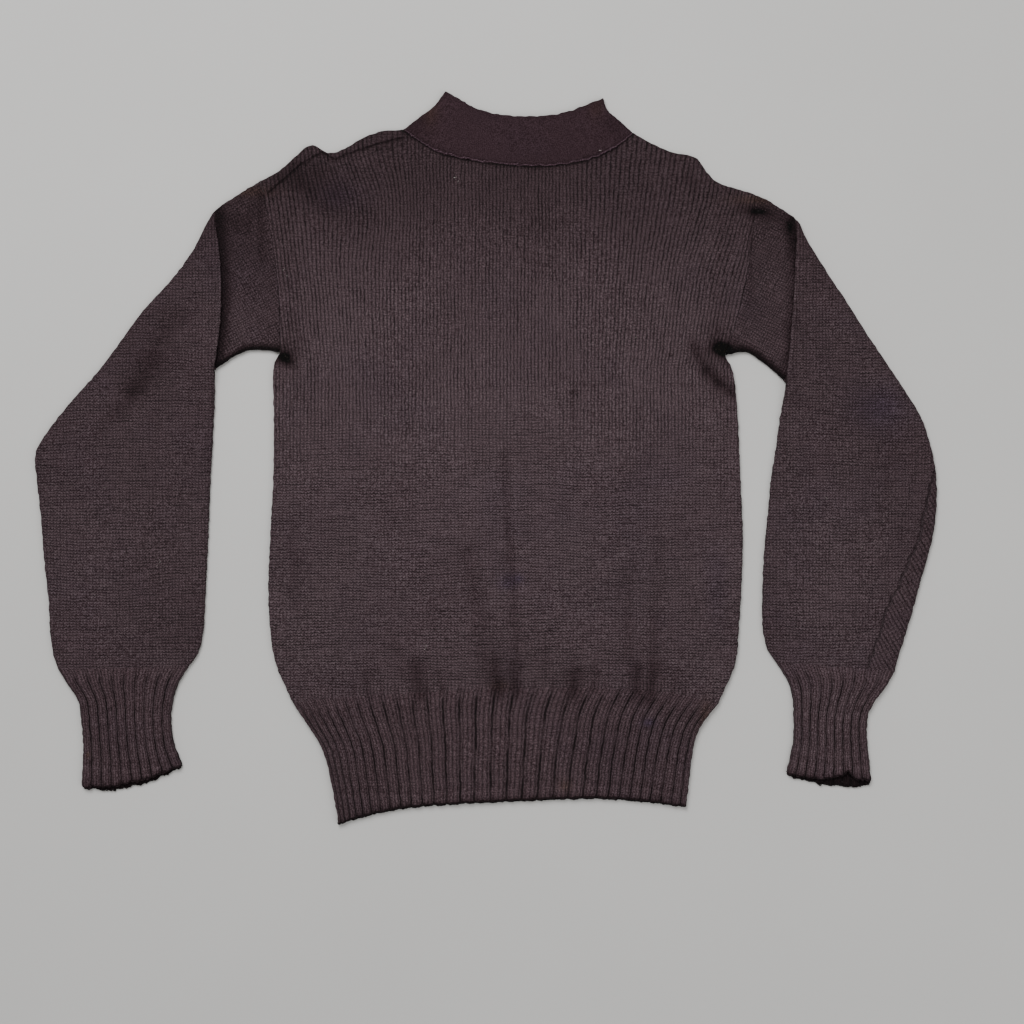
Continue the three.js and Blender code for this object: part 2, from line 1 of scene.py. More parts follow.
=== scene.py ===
import bpy
import numpy as np
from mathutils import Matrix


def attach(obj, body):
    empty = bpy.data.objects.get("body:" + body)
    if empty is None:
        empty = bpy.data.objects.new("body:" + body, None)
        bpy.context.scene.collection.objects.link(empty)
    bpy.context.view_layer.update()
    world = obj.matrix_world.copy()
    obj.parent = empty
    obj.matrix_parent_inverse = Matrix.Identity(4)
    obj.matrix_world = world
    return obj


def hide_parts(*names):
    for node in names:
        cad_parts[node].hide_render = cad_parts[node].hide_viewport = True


# A mock neck sweater in plum-brown wool, laid flat on its back with both arms turned down.
# Sizes and tables are millimetres, X across and Y towards the neck, as in the CAD. A mesh is
# turned to metres where it is made. Left and right are as seen from above. Outlines are the
# CAD's, or lie a few millimetres closer to the photograph's at the neck, shoulder and sides.

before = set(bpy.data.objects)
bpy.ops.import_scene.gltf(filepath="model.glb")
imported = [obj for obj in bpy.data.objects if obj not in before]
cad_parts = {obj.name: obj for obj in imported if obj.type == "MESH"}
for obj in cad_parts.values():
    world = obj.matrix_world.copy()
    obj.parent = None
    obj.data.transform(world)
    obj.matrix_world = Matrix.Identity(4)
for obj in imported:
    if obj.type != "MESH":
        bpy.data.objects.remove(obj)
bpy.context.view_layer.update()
scene = bpy.context.scene
print("sweater: frame loaded")

# camera, floor and light

cameraView = {
    "middleX": 26,          # what the middle of the photograph looks at
    "middleY": -54.5,
    "frameWidth": 1024,     # one photograph pixel is one millimetre of cloth
    "height": 2200,
    "aimHeight": 5,
    "sensor": 36,
}
studio = {
    "floorSize": 7000,
    "floorDrop": 0.4,       # under the cloth, so that the two never share a plane
    "keyPlace": (-700, 1500, 2100),
    "keySize": 1500,
    "keyWatts": 62,
    "fillPlace": (1300, -900, 1900),
    "fillSize": 1800,
    "fillWatts": 16,
    "skyStrength": 0.42,
}


def linearColour(hexColour):
    channels = [int(hexColour[i:i + 2], 16) / 255 for i in (1, 3, 5)]
    return (*[c / 12.92 if c <= 0.04045 else ((c + 0.055) / 1.055) ** 2.4 for c in channels], 1.0)


def metres(values):
    return [value / 1000 for value in values]


def makeCamera(view):
    lens = bpy.data.cameras.new("photoCamera")
    lens.sensor_width = view["sensor"]
    lens.lens = view["sensor"] * (view["height"] - view["aimHeight"]) / view["frameWidth"]
    lens.clip_start = 0.05
    camera = bpy.data.objects.new("photoCamera", lens)
    camera.location = metres((view["middleX"], view["middleY"], view["height"]))
    scene.collection.objects.link(camera)
    scene.camera = camera


def makeLight(name, place, size, watts):
    lamp = bpy.data.lights.new(name, "AREA")
    lamp.size = size / 1000
    lamp.energy = watts
    light = bpy.data.objects.new(name, lamp)
    light.location = metres(place)
    light.rotation_euler = (-light.location).to_track_quat("-Z", "Y").to_euler()
    scene.collection.objects.link(light)


makeCamera(cameraView)
makeLight("softboxKey", studio["keyPlace"], studio["keySize"], studio["keyWatts"])
makeLight("softboxFill", studio["fillPlace"], studio["fillSize"], studio["fillWatts"])
scene.world = bpy.data.worlds.new("studioSky")
scene.world.use_nodes = True
scene.world.node_tree.nodes["Background"].inputs["Color"].default_value = linearColour("#f4f3f1")
scene.world.node_tree.nodes["Background"].inputs["Strength"].default_value = studio["skyStrength"]
print("sweater: camera and lights made")


# plans: the flat outlines

def lineAt(rows, share):
    # a smooth line through a table's rows, from 0 at the first to 1 at the last
    points = np.array(rows, float)
    last = len(points) - 1
    place = np.clip(np.asarray(share, float), 0, 1) * last
    first = np.floor(place).astype(int)
    part = (place - first)[..., None]
    before, start = points[np.maximum(first - 1, 0)], points[first]
    end, after = points[np.minimum(first + 1, last)], points[np.minimum(first + 2, last)]
    leave, arrive = (end - before) / 2, (after - start) / 2
    cubic = (2 * start - 2 * end + leave + arrive) * part ** 3
    square = (3 * end - 3 * start - 2 * leave - arrive) * part ** 2
    return cubic + square + leave * part + start


def joined(*stretches):
    # lines end to end as one, each taking up its share of the whole
    def at(share):
        share = np.asarray(share, float)
        start = 0
        point = None
        for line, part in stretches:
            here = line(np.clip((share - start) / part, 0, 1))
            point = here if point is None else np.where((share > start)[..., None], here, point)
            start += part
        return point
    return at


def line(rows):
    return lambda share: lineAt(rows, share)


def planBetween(left, right, top, bottom):
    corners = [np.array(edge(end)) for edge, end in ((left, 0), (right, 0), (left, 1), (right, 1))]

    def plan(across, down):
        a, d = across[..., None], down[..., None]
        sides = left(down) * (1 - a) + right(down) * a
        ends = top(across) * (1 - d) + bottom(across) * d
        near = corners[0] * (1 - a) + corners[1] * a
        far = corners[2] * (1 - a) + corners[3] * a
        return sides + ends - near * (1 - d) - far * d
    return plan


def planThrough(sections):
    outer = line([row[0:2] for row in sections])
    inner = line([row[2:4] for row in sections])
    bend = line([(row[4], -row[5]) for row in sections])

    def plan(across, down):
        a = across[..., None]
        return outer(down) * (1 - a) + inner(down) * a + bend(down) * 4 * a * (1 - a)
    return plan


# x, y along the body's edges, from the neck end to the hem end or from left to right
shoulderLeft = [(-226, 276.5), (-205.5, 288), (-187, 305), (-174, 313), (-158, 305), (-142, 309),
                (-124, 319.5), (-105, 326.5), (-83, 328)]
neckSeam = [(-83, 328), (-46, 306), (-6, 297), (30, 293), (59, 292.5), (94, 297), (124, 308),
            (147, 325)]
shoulderRight = [(147, 325), (165, 315), (185, 306), (209, 300.5), (219, 288), (231, 276),
                 (249, 269.5), (269, 263.5)]
sideLeft = [(-206, 105.5), (-213, 88), (-212.5, 40), (-213, -20), (-216, -80), (-218, -130),
            (-216, -172), (-210.5, -206), (-193, -246)]
sideRight = [(239, 102), (247.5, 84), (252, 40), (254.5, -20), (257, -80), (255.5, -130),
             (253, -172), (249.5, -206), (232.5, -246)]
ribLine = [(-193, -246), (-150, -240), (-80, -236), (10, -231), (110, -230.5), (182, -235), (232.5, -246)]
hemSideLeft = [(-193, -246), (-176, -272), (-163.5, -293), (-155.5, -323), (-148, -366)]
hemSideRight = [(232.5, -246), (214, -271), (207, -294), (203.5, -322), (200.5, -348.5)]
hemEdge = [(-148, -366), (-126, -359), (-84, -350), (-30, -345.5), (40, -342), (108, -340),
           (158, -343), (200.5, -348.5)]
bandSideLeft = [(-83, 328), (-68, 339.5), (-52.5, 351.5), (-41.5, 366)]
bandSideRight = [(147, 325), (134, 337), (122, 347.5), (117.5, 359)]
bandEdge = [(-41.5, 366), (-26, 357.5), (-7, 347.5), (20, 341.5), (50, 340.5), (75, 343.5), (98, 351),
            (117.5, 359)]

# sections across the arms: outer x, y, inner x, y, bow to the right, sag downwards
sleeveLeftSections = [
    (-226, 276.5, -206, 105.5, 6, 0), (-247, 264, -240, 106.5, 6, 0),
    (-273, 245, -272.5, 86.5, 8, 0), (-293.5, 207.5, -271.5, 79.5, 3, 0),
    (-315.5, 177.5, -271.5, 71.5, 0, 0), (-343, 147.5, -271.5, 59.5, 0, 0),
    (-365, 117.5, -272, 45.5, 0, 0), (-387.5, 87.5, -273, 29.5, 0, 0),
    (-414, 57.5, -273.5, 13.5, 0, 0), (-437, 29, -274.5, -2.5, 0, 0),
    (-451, 4, -275.5, -20.5, 0, 0), (-449.5, -24, -276.5, -42.5, 0, 0),
    (-445.5, -62.5, -277.5, -70.5, 0, 0), (-442.5, -102.5, -279, -104.5, 0, 0),
    (-438, -142.5, -281, -142.5, 0, 0), (-436.5, -174.5, -283, -174.5, 0, 0),
    (-433, -197.5, -288, -195.5, 0, 0), (-428, -212.5, -297, -208.5, 0, 0),
]
sleeveRightSections = [
    (269, 263.5, 239, 102, 7, 0), (286, 255, 264, 104, 6, 0),
    (311, 237.5, 300, 75, 2, 0), (321.5, 217.5, 299.5, 67.5, 1, 0),
    (340, 187.5, 298, 60.5, 0, 0), (360, 157.5, 296, 50.5, 0, 0),
    (379, 127.5, 294, 38.5, 0, 0), (399, 97.5, 292, 24.5, 0, 0),
    (419, 67.5, 290, 8.5, 0, 0), (434.5, 42.5, 287, -8.5, 0, 0),
    (443.5, 17.5, 284.5, -26.5, 0, 0), (450, -12.5, 283, -45.5, 0, 0),
    (451, -47.5, 280.5, -70.5, 0, 0), (446.5, -82.5, 278, -98.5, 0, 0),
    (435.5, -122.5, 276.5, -132.5, 0, 0), (424.5, -162.5, 276.5, -167.5, 0, 0),
    (415, -192.5, 281, -190, 0, 0), (409, -213.5, 290, -204.5, 0, 0),
]
cuffLeftSections = [
    (-428, -212.5, -297, -208.5, 0, 0), (-418.5, -228, -307, -225, 0, 1),
    (-408.5, -243, -313, -243, 0, 2), (-405.5, -263, -315, -263, 0, 3),
    (-403.5, -287.5, -312.5, -284, 0, 5), (-404, -308.5, -308, -297.5, 0, 7),
    (-405, -329.5, -304, -307.5, 0, 8),
]
cuffRightSections = [
    (409, -213.5, 290, -204.5, 0, 0), (401.5, -228, 301.5, -223, 0, 0),
    (389.5, -244, 306.5, -240, 0, 0), (382.5, -259, 307.5, -259, 0, 0),
    (381.5, -280, 307.5, -280, 0, 1), (383.5, -301, 304.5, -298, 0, 2),
    (385.5, -322, 300.5, -314.5, 0, 4),
]

# the cloth's own sizes and its relief

cloth = {
    "wall": 2.4,
    "ribWall": 2.0,
    "ribDepth": 1.3,
    "middle": 2.55,         # between the two layers
    "upperFloor": 2.7,      # underside of the upper layer where it touches the lower one
    "lowerRoof": 2.4,
    "foldRadius": 3.0,
    "liftStarts": 12,
    "seamDip": 0.9,         # a sewn end sinks this much, over seamWidth
    "seamWidth": 1.4,
    "armholeShare": 0.32,
    "shoulderShare": 0.29,
    "neckEnds": 0.74,
    "bodyWidth": 470,
    "neckLength": 235,
    "armholeLength": 165,
    "seamGap": 0.3,
    "smoothAngle": 50,
    "puckerStarts": 6,      # creases and mottles start this far in from a fold
    "underStarts": (4, 20),  # the same for the side that it lies on
    "sleeveMottle": (0.2, 16, 2.4),   # height, size and seed of a sleeve's slow unevenness
}

# x, y, wide, tall, height of the upper layer's soft swells
swells = [
    (20, 150, 170, 130, 1.5), (20, -90, 180, 150, 1.6), (30, -300, 140, 40, 0.9),
    (34, 325, 60, 22, 0.9), (-242, 180, 26, 50, 0.8), (-362, -10, 70, 110, 1.4),
    (-362, -165, 62, 75, 1.2), (276, 170, 26, 50, 0.8), (366, 0, 70, 110, 1.4),
    (348, -160, 58, 75, 1.2),
]
# from x, y to x, y, wide, depth of the creases, the larger ones as in the CAD
creases = [
    (19, 2, 30, -182, 9, 1.1), (-16, -102, -1, -214, 9, 0.8), (141, -122, 146, -192, 9, 0.9),
    (176, -82, 169, -214, 9, 0.7), (-186, -82, -196, -162, 10, 0.7), (-121, -205, -117, -238, 10, 0.9),
    (-66, -205, -64, -236, 10, 1.1), (12, -205, 13, -234, 11, 1.3), (92, -208, 91, -233, 11, 1.2),
    (163, -205, 157, -237, 11, 1.3), (-196, 290, -161, 242, 14, 1.2), (204, 277, 216, 262, 12, 0.9),
    (264, 248, 268, 232, 12, 0.9), (204, 117, 214, 85, 9, 1.3), (214, 85, 242, 57, 9, 1.2),
    (-296, 147, -336, 107, 12, 1.2), (-336, 107, -361, 52, 13, 1.3), (-431, 2, -424, -20, 12, 0.6),
    (299, 62, 334, 47, 9, 0.8), (402, -12, 404, -24, 13, 0.7),
]
# the same columns and how dark the line is, for the finer creases; the darkness is painted shade, and below
# zero a painted highlight; ridges have a depth below zero
fineCreases = [
    (19, 2, 22, -62, 4, 0.7, 0.26), (22, -62, 27, -122, 4.6, 0.8, 0.32),
    (27, -122, 31, -212, 5.5, 0.7, 0.27), (27, 0, 36, -150, 4.5, -0.35, -0.06),
    (-18, -96, -9, -140, 8, 0.4, 0.17), (-9, -140, -1, -214, 8, 0.5, 0.26),
    (140, -112, 142, -160, 7, 0.4, 0.14), (142, -160, 146, -214, 7, 0.5, 0.2),
    (175, -62, 170, -160, 7, 0.4, 0.13), (170, -160, 165, -222, 6, 0.5, 0.28),
    (-91, -182, -81, -222, 5, 0.4, 0.18), (-194, -70, -191, -150, 6, 0.4, 0.16),
    (60, -190, 58, -220, 4, 0.4, 0.14), (26, -42, 134, -44, 3, 0.25, 0.05),
    (-186, 71, 214, 72, 2.4, 0.15, 0.07), (87, 60, 87, 22, 1.3, 0.15, 0.28),
    (-121, -214, -117, -238, 4.5, 0.5, 0.2), (-70, -210, -66, -236, 9, 0.5, 0.54),
    (-48, -214, -46, -236, 5, 0.5, 0.2), (8, -206, 12, -234, 9, 0.6, 0.56),
    (28, -208, 30, -234, 7, 0.5, 0.5), (90, -216, 88, -235, 9, 0.6, 0.54),
    (110, -212, 108, -232, 6, 0.5, 0.34), (150, -212, 152, -238, 8, 0.6, 0.54),
    (170, -208, 164, -240, 7, 0.6, 0.56), (190, -216, 186, -240, 5, 0.4, 0.14),
    (-176, 268, -150, 236, 8, 0.6, 0.08), (-148, 226, -110, 236, 10, 0.4, 0.05),
    (-214, 268, -190, 292, 6, 0.5, 0.14), (-192, 286, -178, 262, 6, 0.5, 0.12),
    (-168, 284, -146, 262, 8, 0.4, 0.1), (-186, 276, -166, 254, 3, 0.4, 0.14),
    (-174, 262, -152, 246, 3, 0.4, 0.12), (-206, 282, -186, 268, 3, 0.4, 0.14),
    (-226, 264, -224, 196, 3.6, 0.3, 0.24), (-236, 252, -240, 206, 5, 0.4, 0.14),
    (-250, 240, -251, 200, 5, 0.3, 0.12), (204, 279, 210, 272, 5, 0.6, 0.1),
    (254, 250, 276, 246, 6, 0.6, 0.2), (266, 248, 264, 150, 2.6, 0.3, 0.2),
    (280, 244, 302, 234, 7, 0.5, 0.26), (240, 262, 236, 180, 12, 0.2, 0.06),
    (207, 112, 220, 87, 6, 0.8, 0.46), (220, 87, 233, 74, 6.5, 0.9, 0.66),
    (233, 74, 247, 64, 6.5, 0.9, 0.62), (228, 103, 246, 80, 4, -0.7, -0.14),
    (204, 122, 212, 96, 3, 0.5, 0.18), (229, 132, 236, 112, 2.4, 0.6, 0.22),
    (221, 130, 231, 112, 2.4, 0.5, 0.18), (240, 110, 262, 112, 2.6, 0.4, 0.1),
    (-201, 103, -194, 92, 4, 0.9, 0.3), (-206, 108, -188, 119, 2.4, 0.5, 0.2),
    (-206, 108, -196, 124, 2.4, 0.5, 0.18), (-208, 108, -206, 128, 2.4, 0.4, 0.14),
    (-204, 106, -183, 108, 2.4, 0.4, 0.14), (-202, 112, -186, 124, 2.0, -0.5, -0.08),
    (-208, 110, -201, 127, 2.0, -0.4, -0.07), (-310, 142, -338, 96, 13, 0.5, 0.22),
    (-316, 137, -336, 100, 4, 0.5, 0.18), (-332, 98, -354, 64, 11, 0.7, 0.34),
    (-348, 70, -368, 44, 10, 0.5, 0.3), (-384, 30, -398, 10, 5, 0.3, 0.12),
    (-336, -172, -301, -192, 5, 0.5, 0.08), (299, 62, 322, 50, 6, 0.5, 0.2),
    (318, 56, 344, 40, 7, 0.4, 0.1), (294, -175, 344, -188, 4.5, 0.5, 0.1),
    (364, 5, 424, 3, 1.1, 0.15, 0.22), (366, -52, 414, -53, 1.1, 0.15, 0.22),
    (364, -113, 406, -117, 1.1, 0.15, 0.22), (400, -10, 398, -26, 6, 0.4, 0.14),
    (414, -60, 416, -80, 7, 0.3, 0.08), (-431, 2, -424, -20, 6, 0.3, 0.08),
    (-440, -90, -400, -96, 5, 0.3, 0.05), (-440, -50, -396, -44, 5, 0.3, 0.05),
]
# the same columns for the side that it lies on, soft and shallow because the cloth's weight flattens it
undersideCreases = [
    (-60, 200, -40, 40, 12, 0.7, 0.1), (90, 120, 120, -60, 13, 0.7, 0.1),
    (-120, -40, -90, -190, 11, 0.6, 0.08), (10, -60, 20, -210, 10, 0.6, 0.08),
    (160, -120, 150, -222, 10, 0.5, 0.08), (-150, 250, -110, 200, 12, 0.6, 0.08),
    (180, 240, 200, 190, 12, 0.6, 0.08), (-330, 90, -360, 20, 11, 0.6, 0.08),
    (-400, -60, -340, -90, 11, 0.5, 0.07), (330, 60, 370, 0, 11, 0.6, 0.08),
    (300, -120, 380, -140, 10, 0.5, 0.07),
]
# x, y, wide, tall, how much darker (or lighter, below zero) the cloth looks there: mostly painted shade and
# light, where the light falls off across the cloth and in the armpits, folds and creases, and the dark of two
# small holes
shades = [
    (-183, 281, 24, 16, 0.2), (-100, 318, 42, 15, 0.1), (20, -80, 230, 150, -0.17),
    (232, 118, 24, 50, 0.2), (-220, 190, 34, 60, 0.14), (-322, 112, 30, 34, 0.06),
    (-160, 252, 34, 16, 0.1), (20, 50, 170, 60, -0.04), (20, -228, 16, 9, 0.16),
    (236, 106, 14, 10, 0.3), (-206, 101, 11, 6, 0.6), (-200, 96, 8, 7, 0.4), (237, 108, 9, 6, 0.75),
    (233, 110, 12, 7, 0.35), (241, 106, 15, 18, 0.24), (-200, 104, 14, 14, 0.2),
    (-196, 120, 22, 55, 0.14), (345, -130, 80, 140, -0.26), (-390, -120, 60, 75, -0.15),
    (-420, -110, 45, 85, -0.06), (340, -280, 55, 50, -0.1), (-338, 88, 30, 32, 0.1),
    (-352, 68, 12, 9, 0.16), (272, 246, 12, 5, 0.56), (304.5, 229, 5, 9, 0.66), (204, 276, 14, 9, 0.05),
    (430, -130, 20, 60, 0.1), (290, 130, 22, 50, 0.06), (88, 65, 2.4, 2.6, 0.75),
    (184, 102.5, 2.2, 2.2, 0.5), (-66, 336, 14, 12, 0.16), (129, 332, 14, 12, 0.16),
    (-268, 240, 12, 16, 0.2), (-246, 235, 12, 12, 0.16),
]
# the same columns for where the dye has gone violet, and where rust or damp has browned it
violetMarks = [
    (25, -122, 12, 7, 0.28), (20, -128, 8, 5, 0.18), (33, -121, 3.5, 3, 0.4), (395, 50, 26, 22, 0.3),
    (163, -265, 7, 4, 0.5), (-150, 262, 22, 14, 0.25), (230, -130, 10, 40, 0.15),
]
rustMarks = [
    (-398, -297.5, 1.8, 1.8, 0.8), (220, -262, 6, 18, 0.35), (272, 258, 26, 5, 0.45),
    (-240, 266, 28, 5, 0.4), (-56, 346, 8, 14, 0.3), (110, 350, 8, 10, 0.2), (14, -228, 9, 5, 0.25),
    (79, -328, 6, 6, 0.3),
]


# the columns of the crease tables
wideColumn, depthColumn, darkColumn = 4, 5, 6

lightFall = {
    "neckLoss": 0.44,       # the light falls off towards the neck
    "neckFrom": 120,
    "neckTo": 300,
    "foldLoss": 0.22,       # and on the turned edge of a fold
    "foldReach": 2.2,
    "mottle": (0.035, 34, 1.2),   # amount, size and seed
}


def fromLine(row, xy):
    start, run = np.array(row[0:2], float), np.array(row[2:4], float) - row[0:2]
    along = np.clip(((xy - start) @ run) / (run @ run), 0, 1)
    return np.linalg.norm(xy - start - along[..., None] * run, axis=-1), along


def hills(rows, xy):
    total = np.zeros(xy.shape[:-1])
    for x, y, wide, tall, height in rows:
        total += height * np.exp(-((xy[..., 0] - x) / wide) ** 2 - ((xy[..., 1] - y) / tall) ** 2)
    return total


def eachTrough(rows, xy, column):
    for row in rows:
        off, _ = fromLine(row, xy)
        yield row[column] * np.exp(-(off / row[wideColumn]) ** 2)


def troughs(rows, xy, column=depthColumn):
    return sum(eachTrough(rows, xy, column))


def deepest(rows, xy, column=depthColumn):
    # like troughs, but rows that meet or cross don't add up
    deep, high = np.zeros(xy.shape[:-1]), np.zeros(xy.shape[:-1])
    for value in eachTrough(rows, xy, column):
        deep += np.maximum(value, 0) ** 3
        high += np.maximum(-value, 0) ** 3
    return np.cbrt(deep) - np.cbrt(high)


def liftAt(xy):
    return np.maximum(hills(swells, xy) - troughs(creases, xy), 0)


def uneven(xy, size, seed):
    # slow ups and downs of hand-washed cloth, from -1 to 1
    x, y = xy[..., 0] / size, xy[..., 1] / size
    first = np.sin(x * 1.3 + seed + 1.7 * np.sin(y * 0.9 + seed))
    second = np.sin(y * 1.6 - seed + 1.3 * np.sin(x * 1.1 - seed))
    return (first + second + np.sin((x + y) * 0.7 + seed * 2)) / 3


def smooth(value, start, end):
    share = np.clip((value - start) / (end - start), 0, 1)
    return share * share * (3 - 2 * share)


def foldShare(distance):
    left = 1 - np.clip(distance / cloth["foldRadius"], 0, 1)
    return np.sqrt(np.maximum(1 - left * left, 0))


def seamSink(distance):
    return cloth["seamDip"] * np.exp(-(np.maximum(distance, 0) / cloth["seamWidth"]) ** 2)


def mix(low, high, share):
    return low + (high - low) * share


# meshes

foldSteps = [0.35, 0.9, 1.7, 2.7]     # where a fold's curve has its points
seamSteps = [0.6, 1.3, 2.1]           # and a sewn end's dip


def foldedPlaces(length, step):
    # shares across a layer: close together round the folds at its two ends, even between them
    ends = np.array(foldSteps) / length
    count = int(round((length - 2 * foldSteps[-1]) / step))
    middle = np.linspace(ends[-1], 1 - ends[-1], count + 1)[1:-1]
    return np.concatenate([[0], ends, middle, 1 - ends[::-1], [1]])


def volumeOf(points, faces):
    a, b, c, d = (points[faces[:, i]] for i in range(4))
    first = np.einsum("ij,ij->i", a, np.cross(b, c))
    return (first + np.einsum("ij,ij->i", a, np.cross(c, d))).sum() / 6


# hand knitting and wear: every edge wanders along this axis, by this much, over this size, with this seed
wobbles = [(0, 0.5, 2.1, 0.3), (0, 0.3, 1.1, 1.9), (1, 0.5, 2.2, 2.6), (1, 0.3, 1.2, 0.8)]


def wobbled(points):
    moved = points.copy()
    for axis, amount, size, seed in wobbles:
        moved[:, axis] += amount * uneven(points[:, 0:2], size, seed)
    return moved


def makePiece(name, points, faces, fields, material):
    points = wobbled(points)
    if volumeOf(points, faces) < 0:
        faces = faces[:, ::-1]
    mesh = bpy.data.meshes.new(name)
    mesh.vertices.add(len(points))
    mesh.vertices.foreach_set("co", (points / 1000).astype(np.float32).ravel())
    mesh.loops.add(faces.size)
    mesh.loops.foreach_set("vertex_index", faces.astype(np.int32).ravel())
    mesh.polygons.add(len(faces))
    mesh.polygons.foreach_set("loop_start", np.arange(0, faces.size, 4, dtype=np.int32))
    mesh.update(calc_edges=True)
    mesh.validate()
    knit = mesh.uv_layers.new(name="knit")
    knit.data.foreach_set("uv", fields["knit"][faces.ravel()].astype(np.float32).ravel())
    marks = {"violet": hills(violetMarks, points[:, 0:2]), "rust": hills(rustMarks, points[:, 0:2])}
    marks = {field: np.where(points[:, 2] > cloth["middle"], values, 0) for field, values in marks.items()}
    fields = {"ribbed": np.ones(len(points)), **fields, **marks}
    for field in ("wales", "tone", "seam", "ribbed", "violet", "rust"):
        layer = mesh.attributes.new(field, "FLOAT", "POINT")
        layer.data.foreach_set("value", fields[field].astype(np.float32))
    mesh.materials.append(material)
    piece = bpy.data.objects.new(name, mesh)
    scene.collection.objects.link(piece)
    bpy.ops.object.select_all(action="DESELECT")
    piece.select_set(True)
    bpy.context.view_layer.objects.active = piece
    bpy.ops.object.shade_smooth_by_angle(angle=np.radians(cloth["smoothAngle"]))
    print(f"sweater: {name} has {len(points)} points and {2 * len(faces)} triangles")
    return piece


def loopFaces(count, around, closed):
    # four-cornered faces between rings of points; closed joins the last ring to the first
    index = np.arange(count * around).reshape(count, around)
    near = index if closed else index[:-1]
    far = np.roll(index, -1, axis=0) if closed else index[1:]
    faces = [near, np.roll(near, -1, axis=1), np.roll(far, -1, axis=1), far]
    return np.stack([corner.ravel() for corner in faces], axis=1)


def tubeRings(plan, downs, places, wall, heights, shift=None):
    # rings of outer and inner points of a flattened tube: heights gives z, shift moves points in the plan
    across = np.concatenate([places, places[-2:0:-1]])[None, :]
    upper = np.concatenate([np.ones(len(places)), np.zeros(len(places) - 2)])[None, :]
    down = downs[:, None]
    across, upper, down = np.broadcast_arrays(across, upper, down)
    width = np.linalg.norm(plan(across * 0, down) - plan(across * 0 + 1, down), axis=-1)
    inset = wall / width
    distance = np.minimum(across, 1 - across) * width
    rings = []
    for inner in (False, True):
        share = inset + across * (1 - 2 * inset) if inner else across
        xy = plan(share, down)
        if shift is not None:
            xy = xy + shift(across, down, upper, inner)
        z = heights(across, down, upper, distance, xy, inner)
        rings.append(np.concatenate([xy, z[..., None]], axis=-1))
    return rings[0], rings[1], across, down, upper, distance


def tubeWall(outer, inner, rounding=0):
    # one closed wall from a tube's outer and inner rings, its free end rounded outwards
    rings = [outer]
    if rounding:
        forward = outer[-1] - outer[-2]
        forward[:, 2] = 0
        forward /= np.linalg.norm(forward, axis=-1, keepdims=True)
        rings.append(((outer[-1] + inner[-1]) / 2 + forward * rounding)[None])
    rings.append(inner[::-1])
    points = np.concatenate(rings)
    return points.reshape(-1, 3), loopFaces(points.shape[0], points.shape[1], True)


def overRings(outerValues, innerValues=None, rounding=0):
    # the same order as tubeWall's points
    innerValues = outerValues if innerValues is None else innerValues
    rim = [outerValues[-1:]] if rounding else []
    return np.concatenate([outerValues, *rim, innerValues[::-1]]).reshape(-1, *outerValues.shape[2:])


def alongRows(rings):
    # how far each point is down its own line from the first ring
    steps = np.linalg.norm(np.diff(rings[..., 0:2], axis=0), axis=-1)
    return np.concatenate([np.zeros((1, rings.shape[1])), np.cumsum(steps, axis=0)])


def signedDistance(path, xy):
    # distance from a drawn line, above zero on the left of its direction
    best = np.full(xy.shape[:-1], np.inf)
    sign = np.ones(xy.shape[:-1])
    for start, end in zip(path[:-1], path[1:]):
        off, _ = fromLine((*start, *end), xy)
        run = np.subtract(end, start)
        side = run[0] * (xy[..., 1] - start[1]) - run[1] * (xy[..., 0] - start[0])
        nearer = off < best
        best = np.where(nearer, off, best)
        sign = np.where(nearer, np.where(side >= 0, 1.0, -1.0), sign)
    return best * sign


def soft(settings, xy):
    # slow unevenness of a given amount, size and seed
    amount, size, seed = settings
    return amount * uneven(xy, size, seed)


def toneAt(xy, upper, distance):
    # painted shade and light: the light falls off towards the neck, and crevices, creases and the turned-away
    # edges of a fold look darker
    neckLoss = lightFall["neckLoss"] * smooth(xy[..., 1], lightFall["neckFrom"], lightFall["neckTo"])
    tone = 1 - (hills(shades, xy) + neckLoss + deepest(fineCreases, xy, darkColumn)) * upper
    tone -= troughs(undersideCreases, xy, darkColumn) * (1 - upper)
    tone = tone - lightFall["foldLoss"] * np.exp(-distance / lightFall["foldReach"])
    return tone + soft(lightFall["mottle"], xy)


def puckers(mottle, xy, distance):
    return (soft(mottle, xy) - deepest(fineCreases, xy)) * smooth(distance, 0, cloth["puckerStarts"])


def turnedTo(xy, alongX, alongY):
    # x and y as measured along a direction and across it
    x, y = xy[..., 0], xy[..., 1]
    return np.stack([x * alongX + y * alongY, y * alongX - x * alongY], axis=-1)


def addNode(tree, kind, settings, links=None):
    node = tree.nodes.new(kind)
    for key, value in settings.items():
        if isinstance(key, str) and hasattr(node, key):
            setattr(node, key, value)
        else:
            node.inputs[key].default_value = value
    for key, source in (links or {}).items():
        socket = source if isinstance(source, bpy.types.NodeSocket) else source.outputs[0]
        tree.links.new(socket, node.inputs[key])
    return node


# finishes: hand-knitted wool, matt and a little hairy

stockingStitch = {
    "yarn": "#57474c",
    "gapShade": "#0c0607",    # painted shade in the gaps between the stitches
    "fibre": "#6b5c60",     # loose hairs and lint
    "tint": "#382c3a",      # where the dye has a violet cast
    "wale": 3.5,            # from one upright row of stitches to the next
    "course": 2.9,          # from one row round to the next
    "slant": 0.35,          # how far a stitch's legs slant, in courses
    "waleCut": (0.6, 1.08),   # how deep the uprights' gaps look, in the bump and in painted shade: rows leading, uprights leading
    "courseCut": (1.05, 0.45),
    "legCut": 0.15,
    "waleOpen": 0.55,       # how far a gap closes up where it is tight
    "courseOpen": 0.5,
    "grain": 0.07,          # how far single legs differ in tone
    "strands": 0.58,        # how far its fibres do
    "relief": 0.75,
    "ribs": 0,
    "violet": "#352b47",    # the marks' own colours
    "rust": "#5a4430",
}
sleeveStitch = {**stockingStitch, "yarn": "#514146", "wale": 3.3, "course": 2.95, "strands": 0.64}
